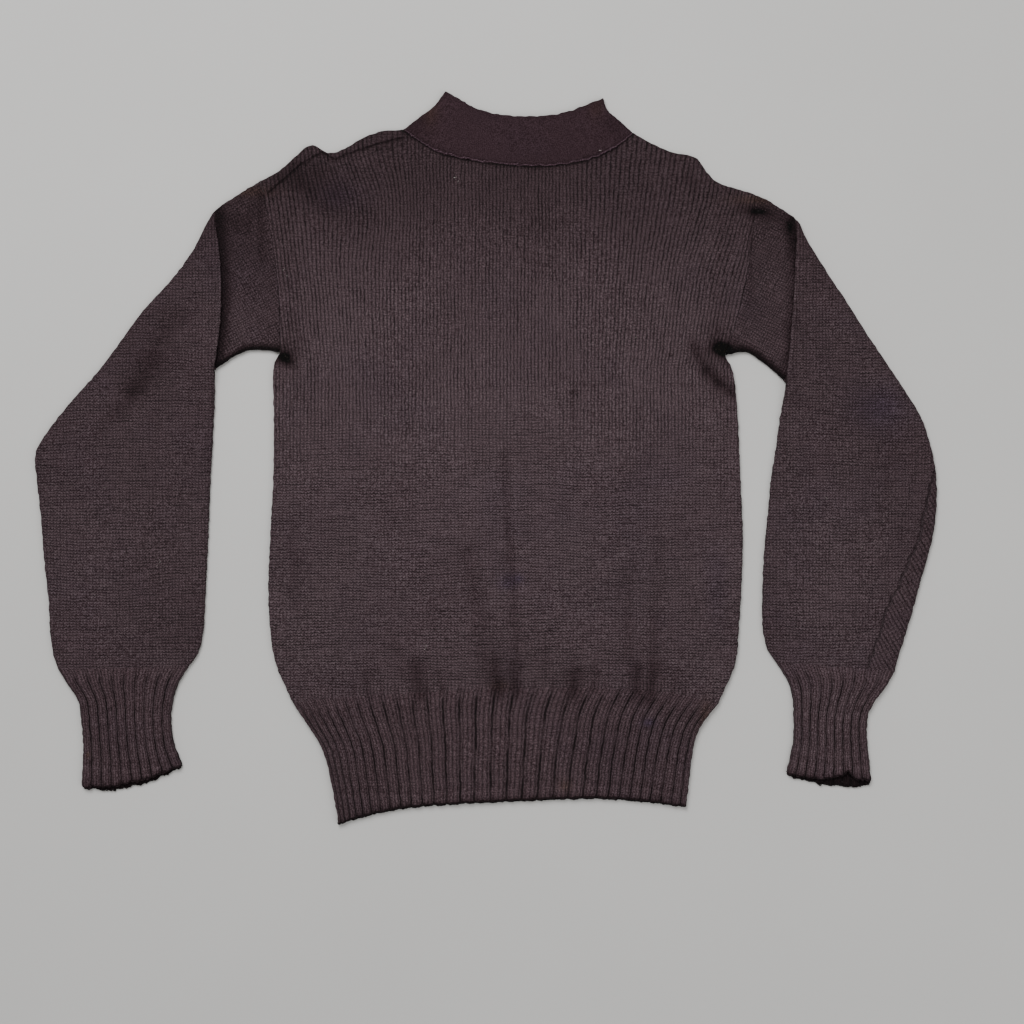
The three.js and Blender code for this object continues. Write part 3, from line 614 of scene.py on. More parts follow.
bandStitch = {
    **stockingStitch, "yarn": "#45333a", "fibre": "#54424a", "wale": 2.06, "course": 2.2, "relief": 0.3,
    "waleCut": (0.3, 0.35), "courseCut": (0.25, 0.2), "legCut": 0.1, "grain": 0.14, "strands": 0.5,
}
# in ribbing, lengths across are counted in ribs, each ribWide millimetres
ribStitch = {
    **stockingStitch, "yarn": "#514045", "ribs": 1, "ribWale": 0.29, "ribWide": 11.7,
    "waleCut": (0.85, 1.0), "courseCut": (0.5, 0.4), "grain": 0.16, "strands": 0.62,
}
# the cast-on roll's yarn is darker than the knit's: painted shade along the free edges
castOnYarn = {**stockingStitch, "yarn": "#3c2d31", "wale": 2.2, "course": 2.2, "relief": 0.5}
seamYarn = {**stockingStitch, "yarn": "#56404a", "wale": 2.2, "course": 2.2, "relief": 0.4}
lintYarn = {**seamYarn, "yarn": "#8a7c7c", "fibre": "#9a8d8b"}


def ribCourse(tree, across, place, look):
    # the upright rows inside a rib, and the painted shade in the groove between two ribs, which closes up
    # here and there
    inRib = addNode(tree, "ShaderNodeMath", {"operation": "FRACT"}, {0: across})
    fromMiddle = addNode(tree, "ShaderNodeMath", {"operation": "SUBTRACT", 1: 0.5}, {0: inRib})
    waleCount = addNode(tree, "ShaderNodeMath", {"operation": "DIVIDE", 1: look["ribWale"]}, {0: fromMiddle})
    ribPlace = addNode(tree, "ShaderNodeMath", {"operation": "PINGPONG", 1: 0.5}, {0: across})
    sides = {"interpolation_type": "SMOOTHSTEP", 1: 0.02, 2: 0.13, 3: 0.04, 4: 1.0}
    groove = addNode(tree, "ShaderNodeMapRange", sides, {0: ribPlace})
    tight = addNode(tree, "ShaderNodeTexNoise", {"Scale": 42, "Detail": 2}, {"Vector": place})
    openShare = addNode(tree, "ShaderNodeMapRange", {1: 0.36, 2: 0.56, 3: 0.55, 4: 1.0}, {0: tight})
    ribbed = addNode(tree, "ShaderNodeAttribute", {"attribute_name": "ribbed"}).outputs["Fac"]
    openHere = addNode(tree, "ShaderNodeMath", {"operation": "MULTIPLY"}, {0: openShare, 1: ribbed})
    return waleCount, addNode(tree, "ShaderNodeMix", {"data_type": "FLOAT", 2: 1.0}, {0: openHere, 3: groove})


def knitStitches(tree, knit, place, wales, look):
    # how much of the yarn shows, from 0 in the gaps between stitches to 1, which gives the bump and the gaps'
    # painted shade, and each stitch's own tone.
    # hand tension: the rows wander by about a millimetre over 30 mm
    wander = addNode(tree, "ShaderNodeTexNoise", {"Scale": 34, "Detail": 1}, {"Vector": place})
    centred = addNode(tree, "ShaderNodeVectorMath", {"operation": "SUBTRACT", 1: (0.5, 0.5, 0.5)},
                      {0: wander.outputs["Color"]})
    ribWide = look["ribWide"] if look["ribs"] else 1
    swing = addNode(tree, "ShaderNodeVectorMath", {"operation": "MULTIPLY", 1: (2.2 / ribWide, 3.2, 0)},
                    {0: centred})
    moved = addNode(tree, "ShaderNodeVectorMath", {"operation": "ADD"}, {0: knit, 1: swing})
    split = addNode(tree, "ShaderNodeSeparateXYZ", {}, {0: moved})
    across, along = split.outputs["X"], split.outputs["Y"]
    if look["ribs"]:
        waleCount, groove = ribCourse(tree, across, place, look)
    else:
        waleCount = addNode(tree, "ShaderNodeMath", {"operation": "DIVIDE", 1: look["wale"]}, {0: across})
        groove = None

    # a stitch is a V: its two legs slant down to the middle of the upright row
    gapNear = addNode(tree, "ShaderNodeMath", {"operation": "PINGPONG", 1: 0.5}, {0: waleCount})
    gapShare = addNode(tree, "ShaderNodeMath", {"operation": "MULTIPLY", 1: 2}, {0: gapNear})
    courseCount = addNode(tree, "ShaderNodeMath", {"operation": "DIVIDE", 1: look["course"]}, {0: along})
    slanted = addNode(tree, "ShaderNodeMath", {"operation": "MULTIPLY_ADD", 1: look["slant"]},
                      {0: gapShare, 2: courseCount})
    rowNear = addNode(tree, "ShaderNodeMath", {"operation": "PINGPONG", 1: 0.5}, {0: slanted})
    rowShare = addNode(tree, "ShaderNodeMath", {"operation": "MULTIPLY", 1: 2}, {0: rowNear})
    legsApart = addNode(tree, "ShaderNodeMath", {"operation": "SUBTRACT", 0: 1.0}, {1: gapShare})

    # uprights lead on the chest, rows on the belly and arms, and each gap runs on its own,
    # deeper here and closed up there, over a dozen millimetres or so
    runs = {"Scale": 1.0, "Detail": 2, "Roughness": 0.8, "Lacunarity": 4.0}
    cuts = []
    for count, further, stretch, ownAxis, layer, depths, closed in (
            (waleCount, along, 0.04, 0, 0.0, look["waleCut"], look["waleOpen"]),
            (courseCount, across, 0.04 * ribWide, 1, 9.0, look["courseCut"], look["courseOpen"])):
        depth = addNode(tree, "ShaderNodeMapRange", {3: depths[0], 4: depths[1]}, {0: wales})
        number = addNode(tree, "ShaderNodeMath", {"operation": "ROUND"}, {0: count})
        own = addNode(tree, "ShaderNodeMath", {"operation": "MULTIPLY", 1: 3.71}, {0: number})
        run = addNode(tree, "ShaderNodeMath", {"operation": "MULTIPLY", 1: stretch}, {0: further})
        spot = addNode(tree, "ShaderNodeCombineXYZ", {2: layer}, {ownAxis: own, 1 - ownAxis: run})
        chance = addNode(tree, "ShaderNodeTexNoise", runs, {"Vector": spot})
        opened = addNode(tree, "ShaderNodeMapRange", {1: 0.33, 2: 0.66, 3: closed, 4: 1.15}, {0: chance})
        cuts.append(addNode(tree, "ShaderNodeMath", {"operation": "MULTIPLY"}, {0: depth, 1: opened}))

    # round yarn: what is near a gap falls away by these powers, in the bump and in painted shade
    stitch = groove
    for share, power, fixed, driven in (
            (gapShare, 0.55, {}, {1: cuts[0]}), (rowShare, 0.62, {}, {1: cuts[1]}),
            (legsApart, 0.3, {1: look["legCut"]}, {})):
        rounded = addNode(tree, "ShaderNodeMath", {"operation": "POWER", 1: power}, {0: share})
        low = addNode(tree, "ShaderNodeMath", {"operation": "SUBTRACT", 0: 1.0}, {1: rounded})
        loss = addNode(tree, "ShaderNodeMath", {"operation": "MULTIPLY", **fixed}, {0: low, **driven})
        left = addNode(tree, "ShaderNodeMath", {"operation": "SUBTRACT", 0: 1.0, "use_clamp": True},
                       {1: loss})
        if stitch:
            left = addNode(tree, "ShaderNodeMath", {"operation": "MULTIPLY"}, {0: stitch, 1: left})
        stitch = left

    # no two legs catch the light alike
    legCount = addNode(tree, "ShaderNodeMath", {"operation": "MULTIPLY", 1: 2}, {0: waleCount})
    legNumber = addNode(tree, "ShaderNodeMath", {"operation": "FLOOR"}, {0: legCount})
    courseNumber = addNode(tree, "ShaderNodeMath", {"operation": "FLOOR"}, {0: slanted})
    cell = addNode(tree, "ShaderNodeCombineXYZ", {}, {0: legNumber, 1: courseNumber})
    chance = addNode(tree, "ShaderNodeTexWhiteNoise", {"noise_dimensions": "2D"}, {"Vector": cell})
    stitchTone = addNode(tree, "ShaderNodeMapRange", {3: 1 - look["grain"], 4: 1 + look["grain"]},
                         {0: chance.outputs["Value"]})
    return stitch, stitchTone


def dyedYarn(tree, place, look):
    # the yarn's colour, with a violet cast in patches and the violet and rusty marks
    colour = addNode(tree, "ShaderNodeMix", {
        "data_type": "RGBA", 6: linearColour(look["yarn"]), 7: linearColour(look["tint"])})
    tintPlace = addNode(tree, "ShaderNodeTexNoise", {"Scale": 9, "Detail": 4, "Roughness": 0.65},
                        {"Vector": place})
    tintShare = addNode(tree, "ShaderNodeMapRange", {1: 0.5, 2: 0.8, 3: 0.0, 4: 0.3}, {0: tintPlace})
    tree.links.new(tintShare.outputs[0], colour.inputs[0])
    for mark in ("violet", "rust"):
        share = addNode(tree, "ShaderNodeAttribute", {"attribute_name": mark}).outputs["Fac"]
        colour = addNode(tree, "ShaderNodeMix", {"data_type": "RGBA", 7: linearColour(look[mark])},
                         {0: share, 6: colour.outputs[2]})
    return colour.outputs[2]


# a sewn line across its width: place from -4 to 8 mm as a share, and how bright it is there. It is
# painted shadow in the seam's dip, with a painted highlight on the raised lip beside it
seamStops = [(0.24, 0.5), (0.335, 0.1), (0.41, 0.5), (0.49, 0.7), (0.6, 0.5)]


def knitFinish(name, look):
    # worsted wool, hand knitted: round matt yarn with painted shade in the gaps between the stitches and a
    # faint bloom
    material = bpy.data.materials.new(name)
    material.use_nodes = True
    tree = material.node_tree
    tree.nodes.clear()
    knit = addNode(tree, "ShaderNodeUVMap", {"uv_map": "knit"})
    place = addNode(tree, "ShaderNodeTexCoord", {}).outputs["Object"]
    tone, wales, seam = [addNode(tree, "ShaderNodeAttribute", {"attribute_name": mark}).outputs["Fac"]
                         for mark in ("tone", "wales", "seam")]
    stitch, shade = knitStitches(tree, knit, place, wales, look)

    # washed wool is a little blotchy, and loose fibres break the yarn up
    blotch = addNode(tree, "ShaderNodeTexNoise", {"Scale": 16, "Detail": 3}, {"Vector": place})
    blotchTone = addNode(tree, "ShaderNodeMapRange", {1: 0.3, 2: 0.7, 3: 0.94, 4: 1.06}, {0: blotch})
    strand = addNode(tree, "ShaderNodeTexNoise", {"Scale": 1050, "Detail": 0}, {"Vector": place})
    strandEnds = {1: 0.3, 2: 0.7, 3: 1 - look["strands"], 4: 1 + look["strands"]}
    strandTone = addNode(tree, "ShaderNodeMapRange", strandEnds, {0: strand})

    seamPlace = addNode(tree, "ShaderNodeMapRange", {1: -4.0, 2: 8.0}, {0: seam})
    seamRamp = addNode(tree, "ShaderNodeValToRGB", {}, {0: seamPlace})
    stops = seamRamp.color_ramp.elements
    for at, value in seamStops:
        stops.new(at).color = (value, value, value, 1)
    stops[0].color = stops[len(stops) - 1].color = (0.5, 0.5, 0.5, 1)
    # painted shadow in the seam's dip and a painted highlight on its lip
    seamShadeAndHighlight = addNode(tree, "ShaderNodeMapRange", {3: 0.3, 4: 1.7}, {0: seamRamp})
    for factor in (blotchTone, strandTone, tone, seamShadeAndHighlight):
        shade = addNode(tree, "ShaderNodeMath", {"operation": "MULTIPLY"}, {0: shade, 1: factor})

    # the yarn darkens to painted shade in the gaps between the stitches
    yarn = addNode(tree, "ShaderNodeMix", {"data_type": "RGBA", 6: linearColour(look["gapShade"])},
                   {0: stitch, 7: dyedYarn(tree, place, look)})
    # shaded wool stays plum, as light that bounces between the fibres is warm
    warm = addNode(tree, "ShaderNodeMath", {"operation": "POWER", 1: 0.88}, {0: shade})
    cool = addNode(tree, "ShaderNodeMath", {"operation": "POWER", 1: 1.04}, {0: shade})
    cast = addNode(tree, "ShaderNodeCombineXYZ", {}, {0: warm, 1: cool, 2: shade})
    shaded = addNode(tree, "ShaderNodeVectorMath", {"operation": "MULTIPLY"}, {0: yarn.outputs[2], 1: cast})
    hairs = addNode(tree, "ShaderNodeTexNoise", {"Scale": 950, "Detail": 2, "Roughness": 0.7},
                    {"Vector": place})
    hairShare = addNode(tree, "ShaderNodeMapRange", {1: 0.62, 2: 0.8, 3: 0.0, 4: 0.6}, {0: hairs})
    hairy = addNode(tree, "ShaderNodeMix", {"data_type": "RGBA", 7: linearColour(look["fibre"])},
                    {0: hairShare, 6: shaded})

    stitchHeight = addNode(tree, "ShaderNodeMath", {"operation": "MULTIPLY", 1: look["relief"]}, {0: stitch})
    seamHeight = addNode(tree, "ShaderNodeMath", {"operation": "MULTIPLY_ADD", 1: 1.2},
                         {0: seamRamp, 2: stitchHeight})
    height = addNode(tree, "ShaderNodeMath", {"operation": "MULTIPLY_ADD", 1: 0.25},
                     {0: hairs, 2: seamHeight})
    bump = addNode(tree, "ShaderNodeBump", {"Strength": 1.0, "Distance": 0.001}, {"Height": height})
    wool = addNode(tree, "ShaderNodeBsdfPrincipled", {
        "Roughness": 0.94, "Specular IOR Level": 0.18, "Sheen Weight": 0.16, "Sheen Roughness": 0.5,
        "Sheen Tint": linearColour(look["fibre"]),
    }, {"Base Color": hairy.outputs[2], "Normal": bump})
    addNode(tree, "ShaderNodeOutputMaterial", {}, {"Surface": wool})
    return material


def floorFinish():
    # matt painted board: pale, even, with a faint roller mottle
    material = bpy.data.materials.new("matt_painted_board")
    material.use_nodes = True
    tree = material.node_tree
    board = tree.nodes["Principled BSDF"]
    board.inputs["Roughness"].default_value = 0.85
    place = addNode(tree, "ShaderNodeTexCoord", {}).outputs["Object"]
    mottle = addNode(tree, "ShaderNodeTexNoise", {"Scale": 3, "Detail": 4}, {"Vector": place})
    paint = addNode(tree, "ShaderNodeMix", {
        "data_type": "RGBA", 6: linearColour("#c9c8c6"), 7: linearColour("#d2d1cf")}, {0: mottle})
    tree.links.new(paint.outputs[2], board.inputs["Base Color"])
    return material


bodyWool = knitFinish("wool_stocking_stitch_body", stockingStitch)
sleeveWool = knitFinish("wool_stocking_stitch_sleeve", sleeveStitch)
bandWool = knitFinish("wool_fine_knit_band", bandStitch)
ribWool = knitFinish("wool_two_by_two_rib", ribStitch)
edgeWool = knitFinish("wool_cast_on_edge", castOnYarn)
seamWool = knitFinish("wool_seam_overcast", seamYarn)
lintWool = knitFinish("wool_lint", lintYarn)

bpy.ops.object.select_all(action="DESELECT")
bpy.ops.mesh.primitive_plane_add(size=studio["floorSize"] / 1000,
                                 location=(0, 0, -studio["floorDrop"] / 1000))
bpy.ops.object.transform_apply(location=True, rotation=True, scale=True)
floor = bpy.context.active_object
floor.name = "studio_floor"
floor.data.materials.append(floorFinish())
print("sweater: finishes and floor made")


def dress(piece, node):
    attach(piece, "root")
    if node:
        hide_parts(node)
    return piece


ribbing = {
    "step": 2.6,
    "perRib": 8,            # columns of points across one rib
    # how many ribs cross the upper layer, its width, and how uneven the free edge is
    "hem": {"ribs": 32, "width": 390, "seed": 1.7, "fray": 0.35},
    "cuffLeft": {"ribs": 10, "width": 103, "seed": 0.6, "fray": 0.9},
    "cuffRight": {"ribs": 9, "width": 92, "seed": 2.9, "fray": 0.8, "gape": 2.4},
    "rim": 0.8,             # how far the rounded free edge stands out
    "castOnRadius": 1.15,
    "castOnPitch": 3.3,
    "castOnSwell": 0.18,
    "castOnLift": 1.1,      # the lower roll's middle is at least this many radii above the floor
    "hemFlat": (0.78, 0.115),
    "cuffFlatLeft": (0.21, 0.11),
    "cuffFlatRight": (0.19, 0.11),
    "crestWide": 0.2,       # in ribs: a rib's slope, and the dent between its two upright rows
    "dent": (0.1, 0.06),
    "crestEases": (0.5, 0.12),    # crests start this high, and are whole from this share of the way down
    "gapeAt": (0.3, 0.22, 0.7),   # where across an open cuff gapes, how wide, from which share down
    "underDepth": 0.8,      # how deep the ribs beneath are, against those on top
    "mottle": (0.15, 14),
    "frill": 0.7,           # how far the ribs stand out at the free edge
    "frayWaves": (3.1, 7.3),
    "edgeStarts": 0.72,
    "edgeShade": (0.5, 2),
    # innerTone: painted shade inside the tube, as a share of the outside's tone
    "innerTone": 0.12,
    "wales": (0.55, (0.2, 30)),
    "ribbedFrom": 0.45,     # the grooves fade in over groovesIn, wandering
    "groovesIn": 13,
    "groovesWander": (6, 13, 0.5),
}


def ribCrest(position):
    toValley = 0.5 - np.abs(position % 1 - 0.5)
    deep, wide = ribbing["dent"]
    return smooth(toValley, 0, ribbing["crestWide"]) - deep * np.exp(-((toValley - 0.5) / wide) ** 2)


# front and back

planLeft = planThrough(sleeveLeftSections)
planRight = planThrough(sleeveRightSections)
armSide = cloth["armholeShare"]
topShares = (cloth["shoulderShare"], cloth["neckEnds"] - cloth["shoulderShare"], 1 - cloth["neckEnds"])
bodyPlan = planBetween(
    left=joined((lambda share: planLeft(share, share * 0), armSide), (line(sideLeft), 1 - armSide)),
    right=joined((lambda share: planRight(share, share * 0), armSide), (line(sideRight), 1 - armSide)),
    top=joined(*zip((line(shoulderLeft), line(neckSeam), line(shoulderRight)), topShares)),
    bottom=line(ribLine),
)

bodyPanels = {
    "length": 515,          # from the neck down to the ribbing
    "frontStep": 2.6,
    "backStep": 3.6,
    "flat": (0.476, 0.575),  # one panel, as cut
    "flatArea": 0.253,      # less the neck, the shoulder slopes and the armholes
    "nose": 0.04,           # half the gap where front and back meet, and the wall there
    # beside the armholes, above splayFrom, the uprights lean outwards: from x, over this far, how much
    "splayFrom": 90,
    "splay": [(90, 150, -0.2), (-80, -130, 0.12)],
    # x, y, wide, tall, lean of the uprights near the neck
    "leans": [(-125, 280, 42, 48, 0.3), (215, 215, 40, 60, -0.1)],
    "rowWander": (2.2, 42, 3.1),
    "mottle": (0.22, 17, 0.4),
    "insideTone": 0.7,      # painted shade inside the tube, as a share of the outside's tone
    # the uprights lead from y to y, wandering; near the ribs they show a little again
    "upright": (-60, 90),
    "uprightWander": (30, 40, 2.0),
    "nearRibs": 16,
    "nearRibsWander": (6, 15, 1.1),
    "nearRibsShare": 0.6,
}
# the front's sewn lines: places are millimetres past a sewn edge, and threads and shadow lines are how dark,
# how wide
seams = {
    "reach": 8,             # further off than this there is no seam
    "neckAt": 1.5,
    "armAt": 1.0,
    "bumps": (1.0, 2.6, 1.3),
    "shoulder": [(-81, 320.5), (-110, 313), (-141, 302.5), (-151, 297.5), (-164, 305.5), (-186, 292.5),
                 (-218, 264.5)],
    "shoulderEnds": (-219, -81),
    "shoulderBack": -20,
    "threadEnd": -4,
    "welt": (0.7, -3, 2.6),       # height, place and width of the ridge above the shoulder seam
    "neckShadowLine": (0.8, 1.1, 1.9),     # painted shadow line below the band's edge: how dark, how wide, how far below the edge
    "neckShade": (0.2, 3),
    "shoulderThread": (0.7, 1.6),
    "grooves": (0.55, 8),   # how dark the painted shade of the ribs' grooves runs on above the ribbing, and how far
    "groovesWander": (5, 13, 2.2),
}


def bodyDistances(across, down):
    # from the side and shoulder folds, and from the sewn ends
    side = np.minimum(across, 1 - across) * cloth["bodyWidth"]
    below = down / armSide * cloth["armholeLength"]
    above = np.maximum(cloth["armholeLength"] - below, 0)
    neckShare = (across - cloth["shoulderShare"]) / topShares[1]
    inNeck = np.clip(np.minimum(neckShare, 1 - neckShare), 0, None) * cloth["neckLength"]
    fold = np.minimum(np.hypot(side, above), np.hypot(below, inNeck))
    outNeck = np.clip(np.maximum(-neckShare, neckShare - 1), 0, None) * cloth["neckLength"]
    pastArm = np.maximum(below - cloth["armholeLength"], 0)
    sewn = np.minimum(np.hypot(below, outNeck), np.hypot(side, pastArm))
    return fold, sewn, np.hypot(below, outNeck)


def bodyKnit(xy):
    u = xy[..., 0]
    above = np.maximum(xy[..., 1] - bodyPanels["splayFrom"], 0)
    for start, run, lean in bodyPanels["splay"]:
        u = u + lean * above * np.clip((xy[..., 0] - start) / run, 0, 1.1)
    for x, y, wide, tall, lean in bodyPanels["leans"]:
        u = u + lean * (xy[..., 1] - y) * hills([(x, y, wide, tall, 1)], xy)
    return np.stack([u, xy[..., 1] + soft(bodyPanels["rowWander"], xy)], axis=-1)


def frontLayer(xy, across, down, fold, sewn, toNeck):
    # outer and inner heights, the seam attribute and the tone of the layer on top
    rounded = foldShare(fold)
    lift = liftAt(xy) * smooth(fold, 0, cloth["liftStarts"])
    relief = puckers(bodyPanels["mottle"], xy, fold)
    top = cloth["upperFloor"] + cloth["wall"] + lift + relief - seamSink(sewn)
    edge = cloth["middle"] + bodyPanels["nose"]
    outer = mix(edge + bodyPanels["nose"], top, rounded)
    inner = mix(edge, cloth["upperFloor"] + lift, rounded)

    reach = seams["reach"]
    armSeam = np.minimum(sewn + seams["armAt"] + soft(seams["bumps"], xy), reach)
    seam = np.where(toNeck < reach, toNeck - seams["neckAt"], armSeam)
    drawn = signedDistance(seams["shoulder"], xy)
    first, last = seams["shoulderEnds"]
    onShoulder = (xy[..., 0] > first) & (xy[..., 0] < last)
    near = onShoulder & (drawn < reach) & (drawn > seams["shoulderBack"]) & (np.abs(drawn) < sewn)
    seam = np.where(near, np.maximum(-drawn, seams["threadEnd"]), seam)
    high, place, wide = seams["welt"]
    outer += high * np.exp(-((drawn - place) / wide) ** 2) * onShoulder * rounded

    tone = toneAt(xy, 1.0, fold)
    above = (1 - down) * bodyPanels["length"]
    dark, far = seams["grooves"]
    runOn = np.exp(-above / (far + soft(seams["groovesWander"], xy)))
    # painted shade of the rib grooves, running on above the ribbing
    tone *= 1 - dark * (1 - ribCrest(across * ribbing["hem"]["ribs"])) * runOn
    # painted shade under the neck band, and its painted shadow line
    dark, wide, place = seams["neckShadowLine"]
    shade, far = seams["neckShade"]
    tone *= 1 - shade * np.exp(-toNeck / far) - dark * np.exp(-((toNeck - place) / wide) ** 2)
    dark, wide = seams["shoulderThread"]
    return outer, inner, seam, tone * (1 - dark * np.exp(-(drawn / wide) ** 2) * onShoulder)


def backLayer(xy, fold, sewn):
    # the same for the layer that it lies on
    rounded = foldShare(fold)
    hollow = troughs(undersideCreases, xy) * smooth(fold, *cloth["underStarts"]) + seamSink(sewn)
    edge = cloth["middle"] - bodyPanels["nose"]
    outer = mix(edge - bodyPanels["nose"], hollow, rounded)
    inner = mix(edge, cloth["lowerRoof"], rounded)
    return outer, inner, np.minimum(sewn, seams["reach"]), toneAt(xy, 0.0, fold)


def bodyPanel(name, step, isFront):
    columns, lines = foldedPlaces(cloth["bodyWidth"], step), foldedPlaces(bodyPanels["length"], step)
    across, down = np.meshgrid(columns, lines)
    xy = bodyPlan(across, down)
    fold, sewn, toNeck = bodyDistances(across, down)
    if isFront:
        outer, inner, seam, tone = frontLayer(xy, across, down, fold, sewn, toNeck)
    else:
        outer, inner, seam, tone = backLayer(xy, fold, sewn)
    above = (1 - down) * bodyPanels["length"] + soft(bodyPanels["nearRibsWander"], xy)
    nearRibs = 1 - smooth(above, 0, bodyPanels["nearRibs"])

    def around(outside, inside):
        # a row's outer values from left to right, then its inner ones back again
        return np.concatenate([outside, inside[:, ::-1]], axis=1)

    points = np.concatenate([around(xy, xy), around(outer, inner)[..., None]], axis=-1)
    rows, count = points.shape[:2]
    wide = across.shape[1]
    index = np.arange(rows * count).reshape(rows, count)
    caps = []
    for row, turned in ((index[0], False), (index[-1], True)):
        layer, under = row[:wide], row[wide:][::-1]
        cap = np.stack([layer[:-1], layer[1:], under[1:], under[:-1]], axis=1)
        caps.append(cap[:, ::-1] if turned else cap)
    faces = np.concatenate([loopFaces(rows, count, False), *caps])
    points = points.reshape(-1, 3)
    height = points[:, 1] + soft(bodyPanels["uprightWander"], points[:, 0:2])
    ribShare = bodyPanels["nearRibsShare"] * around(nearRibs, nearRibs).ravel()
    fields = {
        "knit": around(bodyKnit(xy), bodyKnit(xy)).reshape(-1, 2),
        "tone": around(tone, tone * bodyPanels["insideTone"]).ravel(),
        "seam": around(seam, np.full_like(seam, seams["reach"])).ravel(),
        "wales": np.maximum(smooth(height, *bodyPanels["upright"]), ribShare),
    }
    return makePiece(name, points, faces, fields, bodyWool)


frontPiece = dress(bodyPanel("front_panel", bodyPanels["frontStep"], True), "front")
backPiece = dress(bodyPanel("back_panel", bodyPanels["backStep"], False), "back")


# arms: each sleeve turns down over its own cap in a soft fold

arms = {
    "step": 2.8,
    "foldRow": 2,           # the section that lies along the fold
    "rise": 3.0,            # the turned edge above the cap, at the underarm
    "reach": 45,
    "lip": 1.9,             # the least that the edge stands up, all along
    "lipReach": 12,
    "flat": (0.35, 0.53),   # one sleeve opened out: all round, and from the cap to the cuff
    "flatAreas": (0.132, 0.12),
    "seamRight": [(452, 0), (449, -12.5), (429, -87.5), (404, -142.5), (380, -212)],
    "seamWander": [(1.6, 9, 0.7), (0.8, 3.1, 2.2), (1.5, 2.3, 4)],
    "seamTop": 10,          # beyond the seam the knit slants, below this height
    "slant": (0.86, 0.5, 1.2),    # its direction, and how much closer its stitches are
    "slantWales": 0.8,
    "slantLoss": 0.13,
    "foldWidth": 160,
    "edgeStarts": 5,        # the turned edge stands up from here in, past the arm's own fold
    "innerStarts": (3, 15),
    "shadow": 0.82,         # of the cap beside the fold, from shadowStart on, reaching this far in mm
    "shadowStart": 3,
    "shadowReach": (9.5, 6.0),
    "shadowEases": (0.1, 0.4),    # the shares of the fold where the cap's own share of shadow sets in
    "underarm": (0.95, 6.6, 0.55, 0.75),   # painted shade where the cap's edge rolls under: how dark, how wide, from, to
    "rowWander": (2.6, 48),
    "wales": (0.12, 0.5, 40),     # how much the uprights lead, and how much more near the fold
    "capWales": 0.4,
    "capStretch": 1.09,
    "capWander": (0.8, 20),
    "capCrinkle": [(1.1, 4.5), (1.3, 5.5)],
    "capRows": (3, 5),      # rows of the turned edge that share the cap's shadow, and its knit
}
# capTurn: the knit's direction on each cap, how much of the shadow is left away from the shoulder,
# and how far the shadow reaches
capTurns = [(0.5, -0.866, 1.0, 1.0), (0.47, 0.88, 0.4, 0.65)]
# each row of the turned edge: how far it stands from the fold line, its share of the rise, its tone, which is
# painted shade in the crevice under the edge and a painted highlight on its lip
turnedEdge = [(-5, 0, 1.0), (-2.6, -0.02, 0.9), (-0.6, -0.06, 0.7), (1.0, -0.1, 0.3), (1.7, -0.02, 0.3),
              (1.5, 0.14, 0.35), (0.4, 0.3, 0.5), (-0.5, 0.52, 0.8), (-0.5, 0.78, 1.06), (0.4, 0.97, 1.16),
              (2.0, 1.05, 1.14), (4.4, 1.03, 1.05)]


def rowShares(plan, start, end, step, fineStart=False, fineEnd=False):
    # shares down a plan, an even step apart along its middle and closer at a sewn end
    shares = np.linspace(start, end, 500)
    points = plan(np.full_like(shares, 0.5), shares)
    length = np.concatenate([[0], np.cumsum(np.linalg.norm(np.diff(points, axis=0), axis=1))])
    marks = np.linspace(0, length[-1], int(round(length[-1] / step)) + 1)
    near = np.array(seamSteps)
    extra = [near] if fineStart else []
    extra += [length[-1] - near] if fineEnd else []
    return np.interp(np.sort(np.concatenate([marks, *extra])), length, shares)


def sewnStart(plan):
    small = 0.001
    step = plan(np.array(0.5), np.array(small)) - plan(np.array(0.5), np.array(0.0))
    return cloth["seamGap"] * small / np.linalg.norm(step)


def betweenLayers(upper, over, under, distance):
    # heights of the two layers, which meet at the folds
    return mix(cloth["middle"], np.where(upper > 0, over, under), foldShare(distance))


def plainHeights(across, down, upper, distance, xy, inner):
    lift = liftAt(xy) * smooth(distance, 0, cloth["liftStarts"]) * upper
    if inner:
        return betweenLayers(upper, cloth["upperFloor"] + lift, cloth["lowerRoof"], distance)
    over = cloth["upperFloor"] + cloth["wall"] + lift + puckers(cloth["sleeveMottle"], xy, distance)
    under = troughs(undersideCreases, xy) * smooth(distance, *cloth["underStarts"])
    return betweenLayers(upper, over, under, distance)


def edgeRise(off, along):
    # how high the turned edge lifts the arm, off from the fold and along it to the underarm
    return arms["lip"] * np.exp(-off / arms["lipReach"]) + arms["rise"] * along * np.exp(-off / arms["reach"])


def capShadow(off, along, distance, capTurn):
    # painted shadow on the cap beside the fold, and painted shade where its edge rolls under at the underarm
    reach = mix(*arms["shadowReach"], along) * capTurn[3]
    share = mix(1.0, capTurn[2], smooth(along, *arms["shadowEases"]))
    beside = np.maximum(off - arms["shadowStart"], 0)
    dark, wide, start, end = arms["underarm"]
    underarmShade = 1 - dark * np.exp(-(distance / wide) ** 4) * smooth(along, start, end)
    return (1 - share * arms["shadow"] * np.exp(-(beside / reach) ** 2)) * underarmShade


